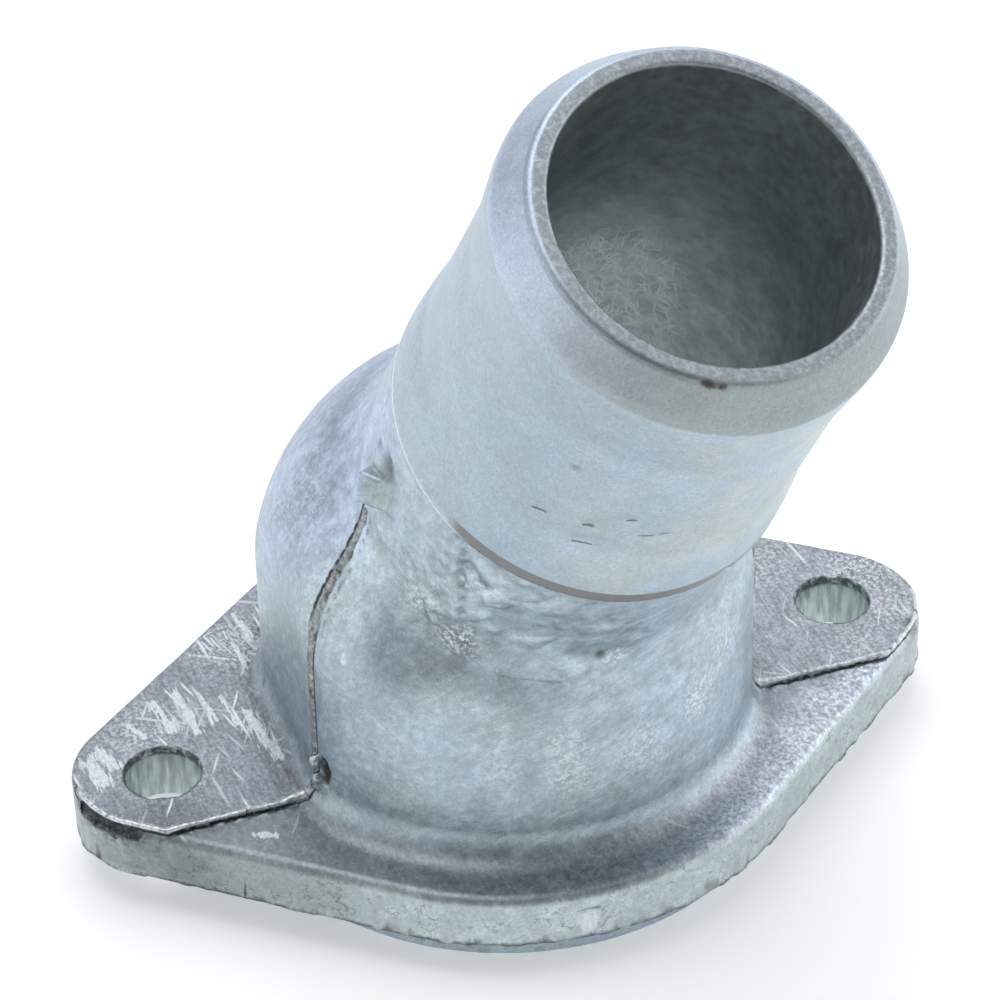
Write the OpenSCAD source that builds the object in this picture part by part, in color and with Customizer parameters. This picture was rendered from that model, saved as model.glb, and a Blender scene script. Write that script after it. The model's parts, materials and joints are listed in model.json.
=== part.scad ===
// Coolant outlet housing: one aluminium die casting with a two-bolt flange, a pilot spigot,
// a domed body and a leaning hose neck with a bead.
// Frame: millimetres, Z up. Origin on the gasket face, midway between the two bolt holes.
// X runs along the bolt line. The neck leans towards -Y.

/* [Part to show] */
// Sub-part to show

/* [Flange] */
// Distance between the two bolt holes
bolt_spacing = 80; // [76:0.5:92]
// Clearance hole for an M8 bolt
bolt_hole_d = 8.5; // [6.6:0.1:10.5]
// Radius of the ear around each bolt hole
ear_r = 9.7; // [8.5:0.1:12]
// Radius of the round middle of the flange
flange_r = 34.4; // [34:0.1:37]
// Thickness of the two bolt pads
pad_t = 7; // [6:0.1:9]
// Step from the bolt pads down to the front of the flange
front_step = 0.6; // [0.2:0.1:1.2]
// Distance of the die parting line in front of the bolt line
parting_y = 10; // [9:0.5:13]
// Turn of the cast outline against the drilled bolt line
cast_turn = -1.2; // [-2:0.1:2]

/* [Pilot] */
// Outside diameter of the spigot that centres the housing
pilot_d = 62.5; // [61:0.5:65]
// Height of the spigot below the gasket face
pilot_h = 4.5; // [3:0.5:6]
// Bore of the recess for the valve flange
recess_d = 54.5; // [52:0.5:56]
// Depth of the recess, measured from the end of the spigot
recess_h = 4; // [2:0.5:5]

/* [Body] */
// Diameter of the body at the gasket face
body_d = 54.9; // [53.5:0.1:56]
// Draft of the body wall up to the dome centre, on the radius
body_draft = 0.3; // [0.1:0.1:0.6]
// Radius of the dome on the body
dome_r = 27.35; // [26.8:0.05:28]
// Height of the dome centre above the gasket face
dome_z = 23.2; // [21:0.1:28]
// Distance between the two side flats on the bolt line
flat_w = 50; // [48.5:0.5:52]
// Draft of each side flat along the pull direction of the die
flat_draft = 2; // [0:0.5:4]
// Fillet between the body and the flange
foot_r = 3.5; // [2:0.5:4]
// Wall of the body
wall_t = 5; // [4:0.1:5]

/* [Neck] */
// Height at which the neck axis leaves the body axis
neck_z = 24.2; // [22:0.1:28]
// Lean of the neck from upright
neck_tilt = 29.4; // [20:0.1:40]
// Turn of the neck about Z, away from straight forward
neck_turn = 12.9; // [0:0.1:30]
// Length from the body axis to the mouth
neck_l = 75.5; // [70:0.1:90]
// Bore of the neck
neck_bore_d = 32; // [28:0.5:33]
// Chamfer on the inner edge of the mouth
mouth_chamfer = 0.6; // [0.3:0.1:1]
// Outside diameter of the tube just below the bead
tube_top_d = 39.3; // [38.6:0.1:39.6]
// Outside diameter of the tube where the collar starts
tube_low_d = 40; // [39.6:0.1:40.6]
// Outside diameter of the mouth rim
rim_d = 35.8; // [35.2:0.1:36.6]
// Crest diameter of the hose bead
bead_d = 40.9; // [40.4:0.1:42.5]
// Length of the straight land on the bead crest
bead_land = 1.6; // [1:0.1:2.5]
// Length of the lead-in from the rim to the bead land
bead_lead = 4.2; // [3:0.1:6]
// Length of the slope from the bead land down to the tube
bead_back = 8.7; // [3:0.1:12]
// Diameter of the collar that stops the hose
collar_d = 41.9; // [41.7:0.1:43]
// Distance from the body axis to the lower edge of the collar
collar_l = 35.2; // [33:0.1:38]
// Length of the flare from the tube to the collar
collar_flare = 9; // [6:0.1:11]
// Diameter of the neck root at the front, below the collar
root_front_d = 40; // [39.2:0.1:40.4]
// Diameter of the neck root at the back, below the collar
root_back_d = 41.5; // [40.6:0.1:41.5]
// Distance of the parting line in front of the neck axis
neck_parting = 3; // [0:0.5:5]
// Fillet between the neck root and the dome
root_r = 8; // [3:0.5:10]

/* [Resolution] */
// Facets per full turn in the preview
facets = 144; // [48:12:240]

/* [Hidden] */
$fn = facets;
// Depth by which one surface runs into its neighbour
sink = 0.15;
// Overlap of a cutting tool past the face that it opens
over = 1;
// Height of the front of the flange
front_t = pad_t - front_step;
// Radius of the body wall at a height above the gasket face
function body_r(z) = body_d / 2 - body_draft * z / dome_z;
// Foot of the fillet, slightly below the front of the flange
foot_z = front_t - sink;
// Inside radii of the body
cavity_low_r = body_d / 2 - wall_t + 0.5;
cavity_dome_r = dome_r - wall_t;
cavity_top_r = cavity_dome_r - sink;
// Direction of the tangent points where the ear lines leave the round middle
tangent_a = acos((flange_r - ear_r) / (bolt_spacing / 2));
// Dome radius as seen from the foot of the neck axis, and the centre of the root fillet
root_dome_r = dome_r - abs(neck_z - dome_z) - sink;
root_c_r = root_front_d / 2 + root_r;
root_c_l = sqrt(pow(root_dome_r + root_r, 2) - pow(root_c_r, 2));
// Stations of the bead land along the neck
bead_low_l = neck_l - bead_lead - bead_land;
bead_top_l = neck_l - bead_lead;
aluminium = [0.66, 0.70, 0.71];

// Two points of the ear line on one side of one ear
function ear_line(side, up, inset) = [
    [side * (flange_r - inset) * cos(tangent_a), up * (flange_r - inset) * sin(tangent_a)],
    [side * (bolt_spacing / 2 + (ear_r - inset) * cos(tangent_a)), up * (ear_r - inset) * sin(tangent_a)]
];

// Outline of the flange: round middle, two ears and the straight lines between them
module flange_outline() {
    line_inset = 0.01;
    circle(r = flange_r);
    for (side = [-1, 1]) {
        translate([side * bolt_spacing / 2, 0])
            circle(r = ear_r);
        polygon(concat(
            ear_line(side, 1, line_inset),
            [ear_line(side, -1, line_inset)[1], ear_line(side, -1, line_inset)[0]]
        ));
    }
}

// Flange plate: bolt pads at full height, front lower by the parting step
module flange_plate() {
    difference() {
        linear_extrude(height = pad_t)
            rotate(cast_turn)
                flange_outline();
        rotate(cast_turn)
            translate([-bolt_spacing, -parting_y - 2 * flange_r, front_t])
                cube([2 * bolt_spacing, 2 * flange_r, pad_t]);
    }
}

// Half profile of the body wall with its foot fillet
module body_profile(foot_wall_r) {
    fillet_r = foot_wall_r + foot_r - 0.02;
    difference() {
        square([fillet_r, foot_z + foot_r]);
        translate([fillet_r, foot_z + foot_r])
            circle(r = foot_r);
    }
}

// Round body, drafted, with a foot fillet
module round_body() {
    rotate_extrude() {
        body_profile(body_r(foot_z + foot_r));
        polygon([[0, 0], [body_r(0), 0], [body_r(dome_z) - sink, dome_z], [0, dome_z]]);
    }
}

// Half space up to one side flat, with the foot fillet of that flat
module flat_side(side) {
    mirror([side, 0, 0])
        rotate([90, 0, -flat_draft])
            linear_extrude(height = 4 * dome_r, center = true) {
                body_profile(flat_w / 2);
                translate([-2 * dome_r, 0])
                    square([2 * dome_r + flat_w / 2, dome_z + 2 * dome_r]);
            }
}

// Body and dome, trimmed by the side flats
module body() {
    intersection() {
        union() {
            round_body();
            translate([0, 0, dome_z])
                sphere(r = dome_r);
        }
        rotate(cast_turn) {
            intersection() {
                flat_side(0);
                flat_side(1);
            }
        }
    }
}

// Places its children on the neck axis, with Z out of the mouth
module on_neck() {
    translate([0, 0, neck_z])
        rotate([0, 0, neck_turn])
            rotate([neck_tilt, 0, 0])
                children();
}

// Half profile of the neck from the body axis to the mouth
module neck_profile() {
    polygon([
        [0, 0],
        [root_front_d / 2, 0],
        [root_front_d / 2, collar_l],
        [collar_d / 2, collar_l],
        [collar_d / 2 - 0.2, collar_l + collar_flare * 0.4],
        [tube_low_d / 2, collar_l + collar_flare],
        [tube_top_d / 2, bead_low_l - bead_back],
        [bead_d / 2, bead_low_l],
        [bead_d / 2, bead_top_l],
        [rim_d / 2, neck_l],
        [0, neck_l]
    ]);
    difference() {
        polygon([
            [0, 0],
            [root_dome_r * root_c_r, root_dome_r * root_c_l] / (root_dome_r + root_r),
            [root_c_r, root_c_l],
            [0, root_c_l]
        ]);
        translate([root_c_r, root_c_l])
            circle(r = root_r);
    }
}

// Neck with its root fillet and the thicker back half of the root
module neck() {
    on_neck() {
        rotate_extrude()
            neck_profile();
        intersection() {
            cylinder(d = root_back_d, h = collar_l + 0.2);
            translate([-bead_d, -neck_parting, 0])
                cube([2 * bead_d, 2 * bead_d, neck_l]);
        }
    }
}

// Pilot spigot below the gasket face
module pilot() {
    translate([0, 0, -pilot_h])
        cylinder(d = pilot_d, h = pilot_h + front_t / 2);
}

// Water way: valve recess, body cavity and neck bore
module water_way() {
    translate([0, 0, -pilot_h - over])
        cylinder(d = recess_d, h = recess_h + over);
    translate([0, 0, -pilot_h])
        cylinder(r1 = cavity_low_r, r2 = cavity_top_r, h = pilot_h + dome_z);
    translate([0, 0, dome_z])
        sphere(r = cavity_dome_r);
    on_neck() {
        cylinder(d = neck_bore_d, h = neck_l + over);
        translate([0, 0, neck_l - mouth_chamfer])
            cylinder(d1 = neck_bore_d, d2 = neck_bore_d + 4 * mouth_chamfer, h = 2 * mouth_chamfer);
    }
}

// Through holes for the two bolts
module bolt_holes() {
    for (side = [-1, 1])
        translate([side * bolt_spacing / 2, 0, -over])
            cylinder(d = bolt_hole_d, h = pad_t + 2 * over);
}

// The whole casting
module outlet_housing() {
    color(aluminium)
        difference() {
            union() {
                flange_plate();
                pilot();
                body();
                neck();
            }
            water_way();
            bolt_holes();
        }
}

outlet_housing();
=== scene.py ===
import json
import math

import bmesh
import bpy
import numpy as np
from mathutils import Matrix, Vector


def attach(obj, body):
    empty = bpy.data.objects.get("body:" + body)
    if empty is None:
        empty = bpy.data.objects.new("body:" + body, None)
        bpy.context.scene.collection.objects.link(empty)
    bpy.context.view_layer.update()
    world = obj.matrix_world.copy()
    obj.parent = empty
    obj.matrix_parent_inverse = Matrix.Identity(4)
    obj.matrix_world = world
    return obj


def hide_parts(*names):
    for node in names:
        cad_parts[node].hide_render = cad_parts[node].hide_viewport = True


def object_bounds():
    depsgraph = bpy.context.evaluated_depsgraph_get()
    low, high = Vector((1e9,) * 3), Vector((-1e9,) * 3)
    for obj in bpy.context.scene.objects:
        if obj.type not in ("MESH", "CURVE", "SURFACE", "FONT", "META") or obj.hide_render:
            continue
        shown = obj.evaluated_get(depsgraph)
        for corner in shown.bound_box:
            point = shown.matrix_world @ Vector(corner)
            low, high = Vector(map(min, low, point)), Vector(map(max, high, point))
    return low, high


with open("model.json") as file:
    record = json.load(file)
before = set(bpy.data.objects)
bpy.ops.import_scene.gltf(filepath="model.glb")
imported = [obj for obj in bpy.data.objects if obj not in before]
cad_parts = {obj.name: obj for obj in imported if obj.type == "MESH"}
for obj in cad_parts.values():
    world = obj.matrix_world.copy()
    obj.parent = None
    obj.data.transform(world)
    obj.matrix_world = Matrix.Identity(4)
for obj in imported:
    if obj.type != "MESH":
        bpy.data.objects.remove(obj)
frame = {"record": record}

bl_info = {
    "name": "Coolant outlet housing",
    "version": (1, 0, 0),
    "blender": (4, 5, 0),
    "location": "View3D > Sidebar > Housing",
    "description": "Dresses the cast coolant outlet housing: casting, trimmed flash, seam grime and stage",
    "category": "Object",
}

CAD_BOX = [list(corner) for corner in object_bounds()]
MM = 0.001


def mount_size(name, key, default):
    """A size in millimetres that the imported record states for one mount."""
    for mount in frame["record"].get("mounts", []):
        if mount["name"] == name:
            return mount["dims"].get(key, default)
    return default


# Property groups

def length(label, text, millimetres):
    """A length property with its default given in millimetres."""
    return bpy.props.FloatProperty(
        name=label, description=text, default=millimetres * MM, precision=5,
        unit="LENGTH", subtype="DISTANCE")


def angle(label, text, degrees):
    """An angle property with its default given in degrees."""
    return bpy.props.FloatProperty(
        name=label, description=text, default=math.radians(degrees), subtype="ANGLE")


def power(label, text, watts):
    """A lamp's power."""
    return bpy.props.FloatProperty(name=label, description=text, default=watts, unit="POWER")


def colour(label, text, rgb):
    """A linear colour property."""
    return bpy.props.FloatVectorProperty(
        name=label, description=text, default=rgb, size=3, min=0.0, max=1.0, subtype="COLOR")


class HousingSizes(bpy.types.PropertyGroup):
    """Sizes of the casting, as in the part's source."""

    bolt_spacing: length(
        "Bolt spacing", "Distance between the bolt holes", mount_size("bolt_holes", "spacing_x_mm", 80))
    hole_radius: length("Hole radius", "Radius of a bolt hole", mount_size("bolt_holes", "hole_r_mm", 4.25))
    ear_radius: length("Ear radius", "Radius of an ear of the flange", 9.7)
    flange_radius: length("Flange radius", "Radius of the round middle of the flange", 34.4)
    pad_height: length("Pad height", "Top of the bolt pads above the gasket face", 7.0)
    front_step: length("Front step", "Drop from the pads to the front of the flange", 0.6)
    parting: length("Parting distance", "Distance of the die parting line from the bolt line", 10.0)
    cast_turn: angle("Cast turn", "Turn of the cast outline against the bolt line", -1.2)
    front_round: length("Front edge", "Rounding of the front edge of the flange", 1.3)
    pad_round: length("Pad edge", "Rounding of the edge of the pads", 0.4)
    pilot_radius: length("Pilot radius", "Radius of the spigot", mount_size("pilot", "r_mm", 31.25))
    pilot_height: length("Pilot height", "Height of the spigot", mount_size("pilot", "length_mm", 4.5))
    recess_radius: length(
        "Recess radius", "Radius of the valve recess", mount_size("valve_recess", "r_mm", 27.25))
    recess_depth: length(
        "Recess depth", "Depth of the valve recess", mount_size("valve_recess", "length_mm", 4.0))
    body_radius: length("Body radius", "Radius of the body at the gasket face", 27.45)
    dome_radius: length("Dome radius", "Radius of the dome", 27.35)
    dome_height: length("Dome height", "Height of the dome centre", 23.2)
    flat_half: length("Side flat", "Distance of a side flat from the middle", 25.35)
    flat_draft: angle("Flat draft", "Draft of the side flats", 0.3)
    foot_fillet: length("Foot fillet", "Fillet between body and flange", 3.5)
    wall: length("Wall", "Wall of the body", 5.0)
    neck_height: length("Neck height", "Height at which the neck axis leaves the body axis", 24.2)
    neck_tilt: angle("Neck tilt", "Lean of the neck", 29.4)
    neck_turn: angle("Neck turn", "Turn of the neck about the body axis", 12.9)
    neck_length: length("Neck length", "Length from the body axis to the mouth", 75.5)
    bore_radius: length("Neck bore", "Radius of the neck bore", 16.0)
    rim_radius: length("Rim radius", "Outside radius of the mouth rim", 17.9)
    bead_radius: length(
        "Bead radius", "Crest radius of the hose bead", mount_size("hose_bead", "r_mm", 20.45))
    tube_top: length("Tube top", "Radius of the tube below the bead", 19.65)
    tube_low: length("Tube foot", "Radius of the tube above the collar", 20.0)
    collar_radius: length("Collar radius", "Radius of the hose collar", 20.95)
    collar_place: length("Collar place", "Distance of the collar's lower edge along the neck", 35.2)
    root_front: length("Root front", "Radius of the neck root in front of the parting line", 20.0)
    root_back: length("Root back", "Radius of the neck root behind the parting line", 20.75)
    root_blend: length("Root blend", "Strength of the blend between neck root and dome", 2.2)
    skin_wave: length("Skin waviness", "Height of the waves in the cast skin", 0.05)
    grid: length("Mesh grid", "Grid of the first mesh", 0.38)
    faces: bpy.props.IntProperty(
        name="Faces", description="Triangles kept in the casting", default=190000, max=199000)


class HousingColours(bpy.types.PropertyGroup):
    """Colours of the casting's finishes, some of which also paint light and shade on it."""

    skin_blue: colour("Skin, blue", "Cool tone of the cast skin", (0.445, 0.55, 0.635))
    skin_green: colour("Skin, green", "Warm tone of the cast skin", (0.46, 0.55, 0.595))
    # Painted cool light: a bluer tint on the upper dome in place of a cooler light from above
    skin_cool_light: colour("Skin, cool", "Bluest tone of the cast skin, on the dome", (0.455, 0.545, 0.685))
    wall: colour("Wall", "Greenish skin on the edge of the flange", (0.435, 0.505, 0.515))
    pad: colour("Pads", "Dull skin on the bolt pads", (0.335, 0.365, 0.42))
    # Painted shadow: the neck's shadow falling on the front of the flange
    front: colour("Front", "Darker skin on the front of the flange", (0.29, 0.33, 0.36))
    bead: colour("Bead", "Hose bead, a little dull", (0.525, 0.605, 0.735))
    bead_front: colour("Bead front", "Dull front of the hose bead", (0.325, 0.37, 0.38))
    block: colour("Block", "Cut block by the collar", (0.36, 0.42, 0.42))
    hole: colour("Bolt hole", "Pale wall of a bolt hole", (0.62, 0.70, 0.68))
    rim: colour("Rim", "Cut face of the mouth", (0.37, 0.41, 0.455))
    # Bare metal; also the colour of painted highlights on the collar's lip, the folds' raised sides and edges
    bright: colour("Bare metal", "Scratched and scuffed metal", (0.80, 0.85, 0.90))
    # The inside is darker; deeper in, painted light makes it paler
    inside: colour("Inside", "Stained skin inside the neck", (0.30, 0.33, 0.335))
    # Painted shadow with grime under the front of the collar
    band: colour("Collar band", "Dull band under the front of the collar", (0.24, 0.235, 0.23))
    flash: colour("Flash", "Trimmed flash on the parting line", (0.30, 0.325, 0.335))
    # Grime, and also the colour of painted shadow in seams, gaps, creases and pits
    grime_and_shade: colour("Grime", "Dirt in seams and pits", (0.035, 0.036, 0.034))
    # Also the tone of the painted light drawn as hairs inside the neck
    warm: colour("Warm tint", "Yellowish tint in patches of the tube", (0.57, 0.61, 0.585))
    rust: colour("Rust", "Rusty spot under the rim", (0.07, 0.05, 0.045))


class StageSettings(bpy.types.PropertyGroup):
    """Floor, light and camera."""

    floor: colour("Floor", "Colour of the floor", (0.86, 0.86, 0.86))
    top_power: power("Top light", "Power of the light overhead", 2.5)
    side_power: power("Side lights", "Power that the other lights take their shares of", 2.4)
    lens: bpy.props.FloatProperty(name="Lens", description="Focal length", default=135.17, unit="CAMERA")
    azimuth: angle("Azimuth", "Turn of the camera about the part", -20.0)
    elevation: angle("Elevation", "Height of the camera above the horizon", 37.72)
    roll: angle("Roll", "Turn of the camera about its line of sight", -1.14)
    distance: length("Distance", "Distance of the camera from its target", 408.8)
    target: bpy.props.FloatVectorProperty(
        name="Target", description="Point that the camera looks at", size=3, precision=6,
        default=(0.00111, 0.003736, 0.030), unit="LENGTH", subtype="TRANSLATION")


# Distance field of the casting, in millimetres

def join(a, b, r):
    """Union of two fields with a round fillet."""
    u = np.maximum(r - a, 0.0)
    v = np.maximum(r - b, 0.0)
    return np.maximum(r, np.minimum(a, b)) - np.sqrt(u * u + v * v)


def trim(a, b, r):
    """Intersection of two fields with a rounded edge."""
    u = np.maximum(r + a, 0.0)
    v = np.maximum(r + b, 0.0)
    return np.minimum(-r, np.maximum(a, b)) + np.sqrt(u * u + v * v)


def step(x, lo, hi):
    """Smooth step from 0 at lo to 1 at hi."""
    t = np.clip((x - lo) / (hi - lo), 0.0, 1.0)
    return t * t * (3.0 - 2.0 * t)


def drop(x, lo, hi):
    """Smooth step from one at lo down to nought at hi."""
    return 1.0 - step(x, lo, hi)


def waves(p, size, seed, count=10):
    """Smooth seeded noise of about unit height, with features of the given size."""
    rng = np.random.default_rng(seed)
    total = np.zeros(len(p))
    for _ in range(count):
        way = rng.normal(size=3)
        way *= 2.0 * math.pi / (size * np.linalg.norm(way)) * rng.uniform(0.6, 1.4)
        total += np.cos(p @ way + rng.uniform(0.0, 2.0 * math.pi))
    return total / math.sqrt(count / 2.0)


def lumps(p, size, seed):
    """Seeded lattice noise from about -1 to 1, with soft lumps of the given size."""
    turned = p @ np.array([[0.36, 0.48, -0.80], [-0.80, 0.60, 0.0], [0.48, 0.64, 0.60]]) / size
    cell = np.floor(turned).astype(np.int64)
    share = turned - cell
    share = share * share * share * (share * (share * 6.0 - 15.0) + 10.0)
    total = np.zeros(len(p))
    for corner in range(8):
        bits = np.array([corner & 1, corner >> 1 & 1, corner >> 2])
        key = ((cell + bits) * np.array([73856093, 19349663, 83492791])).sum(1) + seed * 2654435761
        key = ((key ^ key >> 13) * 1274126177) & 0xFFFFFFFF
        weight = np.where(bits == 1, share, 1.0 - share).prod(1)
        total += weight * ((key ^ key >> 16 & 0xFFFF) % 65536 / 32767.5 - 1.0)
    return total


def crust(p, size, seed):
    """Seeded cast crust: rounded plates with sharp creases between them."""
    push = np.stack([lumps(p, size * 1.4, seed + k) for k in range(1, 4)], -1)
    moved = p + 0.55 * size * push
    return 2.2 * np.abs(lumps(moved, size, seed)) - 0.6 + 0.45 * lumps(moved, size * 0.4, seed + 4)


def along(p, path):
    """Nearest point of a polyline: distance, length up to it, the vector from it and its direction."""
    path = np.asarray(path, float)
    best = np.full(len(p), 1e9)
    run = np.zeros(len(p))
    off = np.zeros((len(p), 3))
    way = np.zeros((len(p), 3))
    start = 0.0
    for a, b in zip(path[:-1], path[1:]):
        seg = b - a
        size = np.linalg.norm(seg)
        t = np.clip((p - a) @ seg / (size * size), 0.0, 1.0)
        gap = p - a - t[:, None] * seg
        d = np.linalg.norm(gap, axis=1)
        near = d < best
        best[near] = d[near]
        run[near] = start + t[near] * size
        off[near] = gap[near]
        way[near] = seg / size
        start += size
    return best, run, off, way


# Marks of casting and trimming, each with its place in millimetres

# Blocks of metal: place, half sizes, axes and edge radius
BLOCKS = [
    ((-17.0, -12.9, 48.6), (2.7, 1.75, 1.9),
     ((0.62, -0.78, 0.0), (0.19, 0.15, 0.97), (-0.76, -0.60, 0.24)), 0.45),
]
# Reach and depth of pits
DENTS = [
    ((-9.0, -35.3, 59.7), 0.8, 0.16), ((-5.1, -38.4, 59.0), 0.9, 0.14), ((-2.0, -40.7, 60.4), 0.8, 0.14),
    ((1.3, -40.4, 57.4), 0.9, 0.14), ((-5.5, -36.8, 56.2), 1.0, 0.12), ((-7.3, -40.1, 67.7), 0.6, 0.16),
    ((-17.3, -13.6, 52.2), 1.5, 0.7), ((-24.5, -11.0, 11.4), 0.8, 0.9), ((-24.6, -10.9, 12.7), 0.6, 0.6),
    ((-24.5, -11.0, 10.1), 0.6, 0.6), ((0.5, -27.0, 32.3), 0.9, 0.5), ((-0.8, -27.0, 27.6), 1.3, 0.25),
    ((-3.2, -34.4, 3.0), 1.0, 0.4), ((-3.6, -34.4, 1.7), 1.1, 0.4), ((-4.5, -34.3, 2.9), 0.8, 0.3),
    ((-12.8, -25.2, 45.4), 1.0, 0.3),
]
# Radius of beads of metal that stand proud
BEADS = [((-25.5, -10.2, 12.4), 0.8), ((-25.4, -10.3, 10.0), 0.75), ((-25.4, -10.2, 8.9), 0.6)]
# Reach, height and plate size of crusted skin
CRUSTS = [
    ((-9.5, -26.0, 40.0), 9.0, 0.13, 3.4), ((-1.0, -29.0, 34.0), 7.0, 0.12, 3.0),
    ((-20.5, -4.0, 41.5), 11.0, 0.09, 3.4), ((-23.0, -14.0, 38.0), 6.0, 0.08, 2.8),
    ((9.0, -25.5, 27.0), 8.0, 0.06, 4.0), ((-15.0, -21.0, 38.0), 5.0, 0.12, 2.0),
]
# Folds in the skin: path, height raised on its left, depth of the crease
FOLDS = [
    ((
        (-17.2, -17.5, 45.2), (-16.8, -18.7, 44.1), (-16.4, -19.6, 42.9), (-16.2, -19.2, 39.9),
        (-15.5, -19.8, 36.7), (-14.1, -21.6, 34.2), (-12.5, -22.6, 32.9), (-11.0, -23.8, 31.5),
        (-9.6, -24.6, 30.7), (-6.5, -25.8, 30.1), (-3.7, -26.5, 29.5), (-1.8, -27.1, 26.1)
    ), 0.26, 0.05),
    ((
        (-13.7, -26.1, 50.0), (-13.4, -24.9, 46.4), (-13.4, -24.3, 43.5), (-13.1, -23.6, 40.2),
        (-12.9, -22.5, 37.2)
    ), 0.0, 0.25),
    ((
        (-13.3, -25.6, 47.7), (-12.0, -25.9, 45.2), (-10.8, -27.2, 44.0)
    ), 0.0, 0.3),
    ((
        (-11.4, -25.3, 41.3), (-9.8, -26.8, 41.4), (-9.1, -28.3, 42.7)
    ), 0.22, 0.0),
]
# Strokes of bare metal: start, end and half width
SMEARS = [
    ((-28.6, 6.2, 7.0), (-27.3, -2.6, 7.0), 1.1), ((-34.9, 12.6, 7.0), (-34.4, 5.0, 7.0), 0.8),
    ((-37.6, 11.2, 7.0), (-37.0, 6.6, 7.0), 1.0), ((-32.5, 10.8, 7.0), (-31.9, 6.2, 7.0), 0.45),
    ((-30.4, 9.8, 7.0), (-30.0, 4.6, 7.0), 0.4), ((-31.4, 18.0, 7.0), (-25.9, 14.7, 7.0), 0.24),
    ((-26.6, 20.5, 7.0), (-25.9, 13.2, 7.0), 0.5), ((-24.6, 23.0, 7.0), (-24.0, 17.0, 7.0), 0.45),
    ((-47.4, 4.4, 7.0), (-46.4, 1.0, 7.0), 1.5), ((-45.6, 5.6, 7.0), (-44.6, 3.0, 7.0), 1.2),
    ((-41.5, 9.2, 7.0), (-40.2, 6.4, 7.0), 0.6), ((-33.6, -12.5, 6.4), (-31.4, -13.5, 6.4), 0.6),
    ((-22.95, -13.85, 29.6), (-22.95, -13.85, 28.3), 0.45),
]
# Dark nicks and the crack in the flange's edge: start, end and half width
NICKS = [
    ((-9.6, -34.6, 60.0), (-8.7, -35.6, 59.6), 0.22), ((-5.5, -37.9, 59.0), (-4.9, -38.4, 58.9), 0.35),
    ((-2.2, -40.5, 60.2), (-1.1, -41.0, 60.5), 0.22), ((-6.1, -36.3, 55.9), (-4.6, -37.3, 55.7), 0.2),
    ((-0.7, -39.9, 57.7), (0.8, -40.4, 57.4), 0.18), ((1.3, -40.4, 57.5), (3.5, -41.0, 58.0), 0.16),
    ((-35.8, -15.25, 0.3), (-35.5, -15.05, 3.4), 0.2), ((-4.9, -34.2, 4.1), (-2.5, -34.3, 4.2), 0.2),
]
RUST = ((0.9, -51.1, 82.4), (2.6, -51.7, 81.9), 0.65)
# Reach and strength of finishes: scratched pads, bare flecks with painted glints, painted light drawn as
# hairs inside, the chip in the flange's edge.
# The hairs lie in a few directions, and the chip's spots are at full strength.
SCRATCHED = [
    ((-34.7, 9.0, 7.0), 3.6, 0.8), ((-38.5, 8.0, 7.0), 3.2, 0.6), ((-28.2, 2.5, 7.0), 3.2, 0.8),
    ((-29.5, 8.5, 7.0), 3.0, 0.6), ((-27.0, 16.5, 7.0), 4.0, 0.9), ((-25.0, 21.0, 7.0), 3.0, 0.8),
    ((-31.0, -3.0, 7.0), 4.0, 0.2), ((44.5, 3.0, 7.0), 4.5, 0.3), ((38.0, 10.5, 7.0), 3.5, 0.3),
    ((34.0, -6.5, 7.0), 4.0, 0.2), ((46.0, -4.0, 7.0), 3.0, 0.3),
]
FLECKS = [
    ((13.1, -24.0, 20.4), 3.0, 0.8), ((5.7, -26.8, 18.0), 3.2, 0.6), ((-3.0, -27.2, 17.1), 2.8, 0.6),
    ((-10.1, -25.4, 18.6), 2.4, 0.4), ((2.2, -26.9, 31.6), 1.4, 0.9), ((-15.8, -19.5, 39.0), 2.6, 0.6),
    ((-13.1, -22.4, 34.9), 2.0, 0.7), ((-12.8, -25.2, 44.0), 1.4, 0.7), ((-22.0, 2.0, 39.0), 6.0, 0.3),
    ((-3.2, -27.0, 21.5), 2.2, 0.6), ((17.5, -21.0, 24.0), 2.6, 0.7), ((45.5, 4.0, 7.0), 4.5, 0.7),
    ((46.5, -4.0, 7.0), 3.5, 0.6), ((40.0, -7.5, 7.0), 3.0, 0.4), ((35.5, 9.0, 7.0), 4.5, 0.4),
    ((-26.5, 18.0, 7.0), 5.0, 0.5), ((-41.0, 7.5, 7.0), 4.0, 0.4),
]
HAIRS = [((9.8, -4.8, 63.0), 8.0, 1.0), ((13.8, -3.6, 56.0), 6.0, 0.7)]
HAIR_TURNS = (0.3, 1.1, 1.9, 2.7)
CHIP = [((-3.2, -34.3, 3.0), 1.0), ((-3.6, -34.3, 1.7), 1.1), ((-4.5, -34.2, 2.9), 0.8)]
# Reach and strength of darkening: grime with painted shade in pits, and soft patches of painted shade on the
# skin
DARK_PITS = [
    ((-24.5, -11.0, 11.4), 0.9, 1.2), ((-24.6, -10.9, 12.7), 0.6, 0.9), ((-24.5, -11.0, 10.1), 0.6, 0.9),
    ((-17.4, -13.6, 52.2), 1.3, 0.6), ((-17.1, -11.0, 53.0), 0.8, 0.4), ((0.5, -27.0, 32.3), 0.6, 0.8),
    ((-7.3, -40.1, 67.7), 0.5, 0.3), ((46.8, -7.0, 6.5), 1.4, 0.5),
]
SHADES = [
    ((-12.0, -23.0, 33.0), 5.5, 0.7), ((-17.0, -18.5, 33.5), 6.0, 0.8), ((-6.5, -26.0, 28.5), 4.5, 0.6),
    ((-43.0, -9.5, 2.5), 9.0, 0.8), ((-30.0, -19.5, 3.0), 8.0, 0.5), ((-25.2, -3.0, 20.0), 10.0, 0.6),
    ((-23.0, -2.0, 35.0), 8.0, 0.3), ((-19.5, -17.5, 27.0), 5.0, 0.5), ((-26.6, 5.0, 9.0), 3.6, 0.45),
    ((-26.8, -1.0, 9.0), 3.6, 0.55), ((-26.6, -6.5, 9.0), 3.2, 0.6),
]


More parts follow.
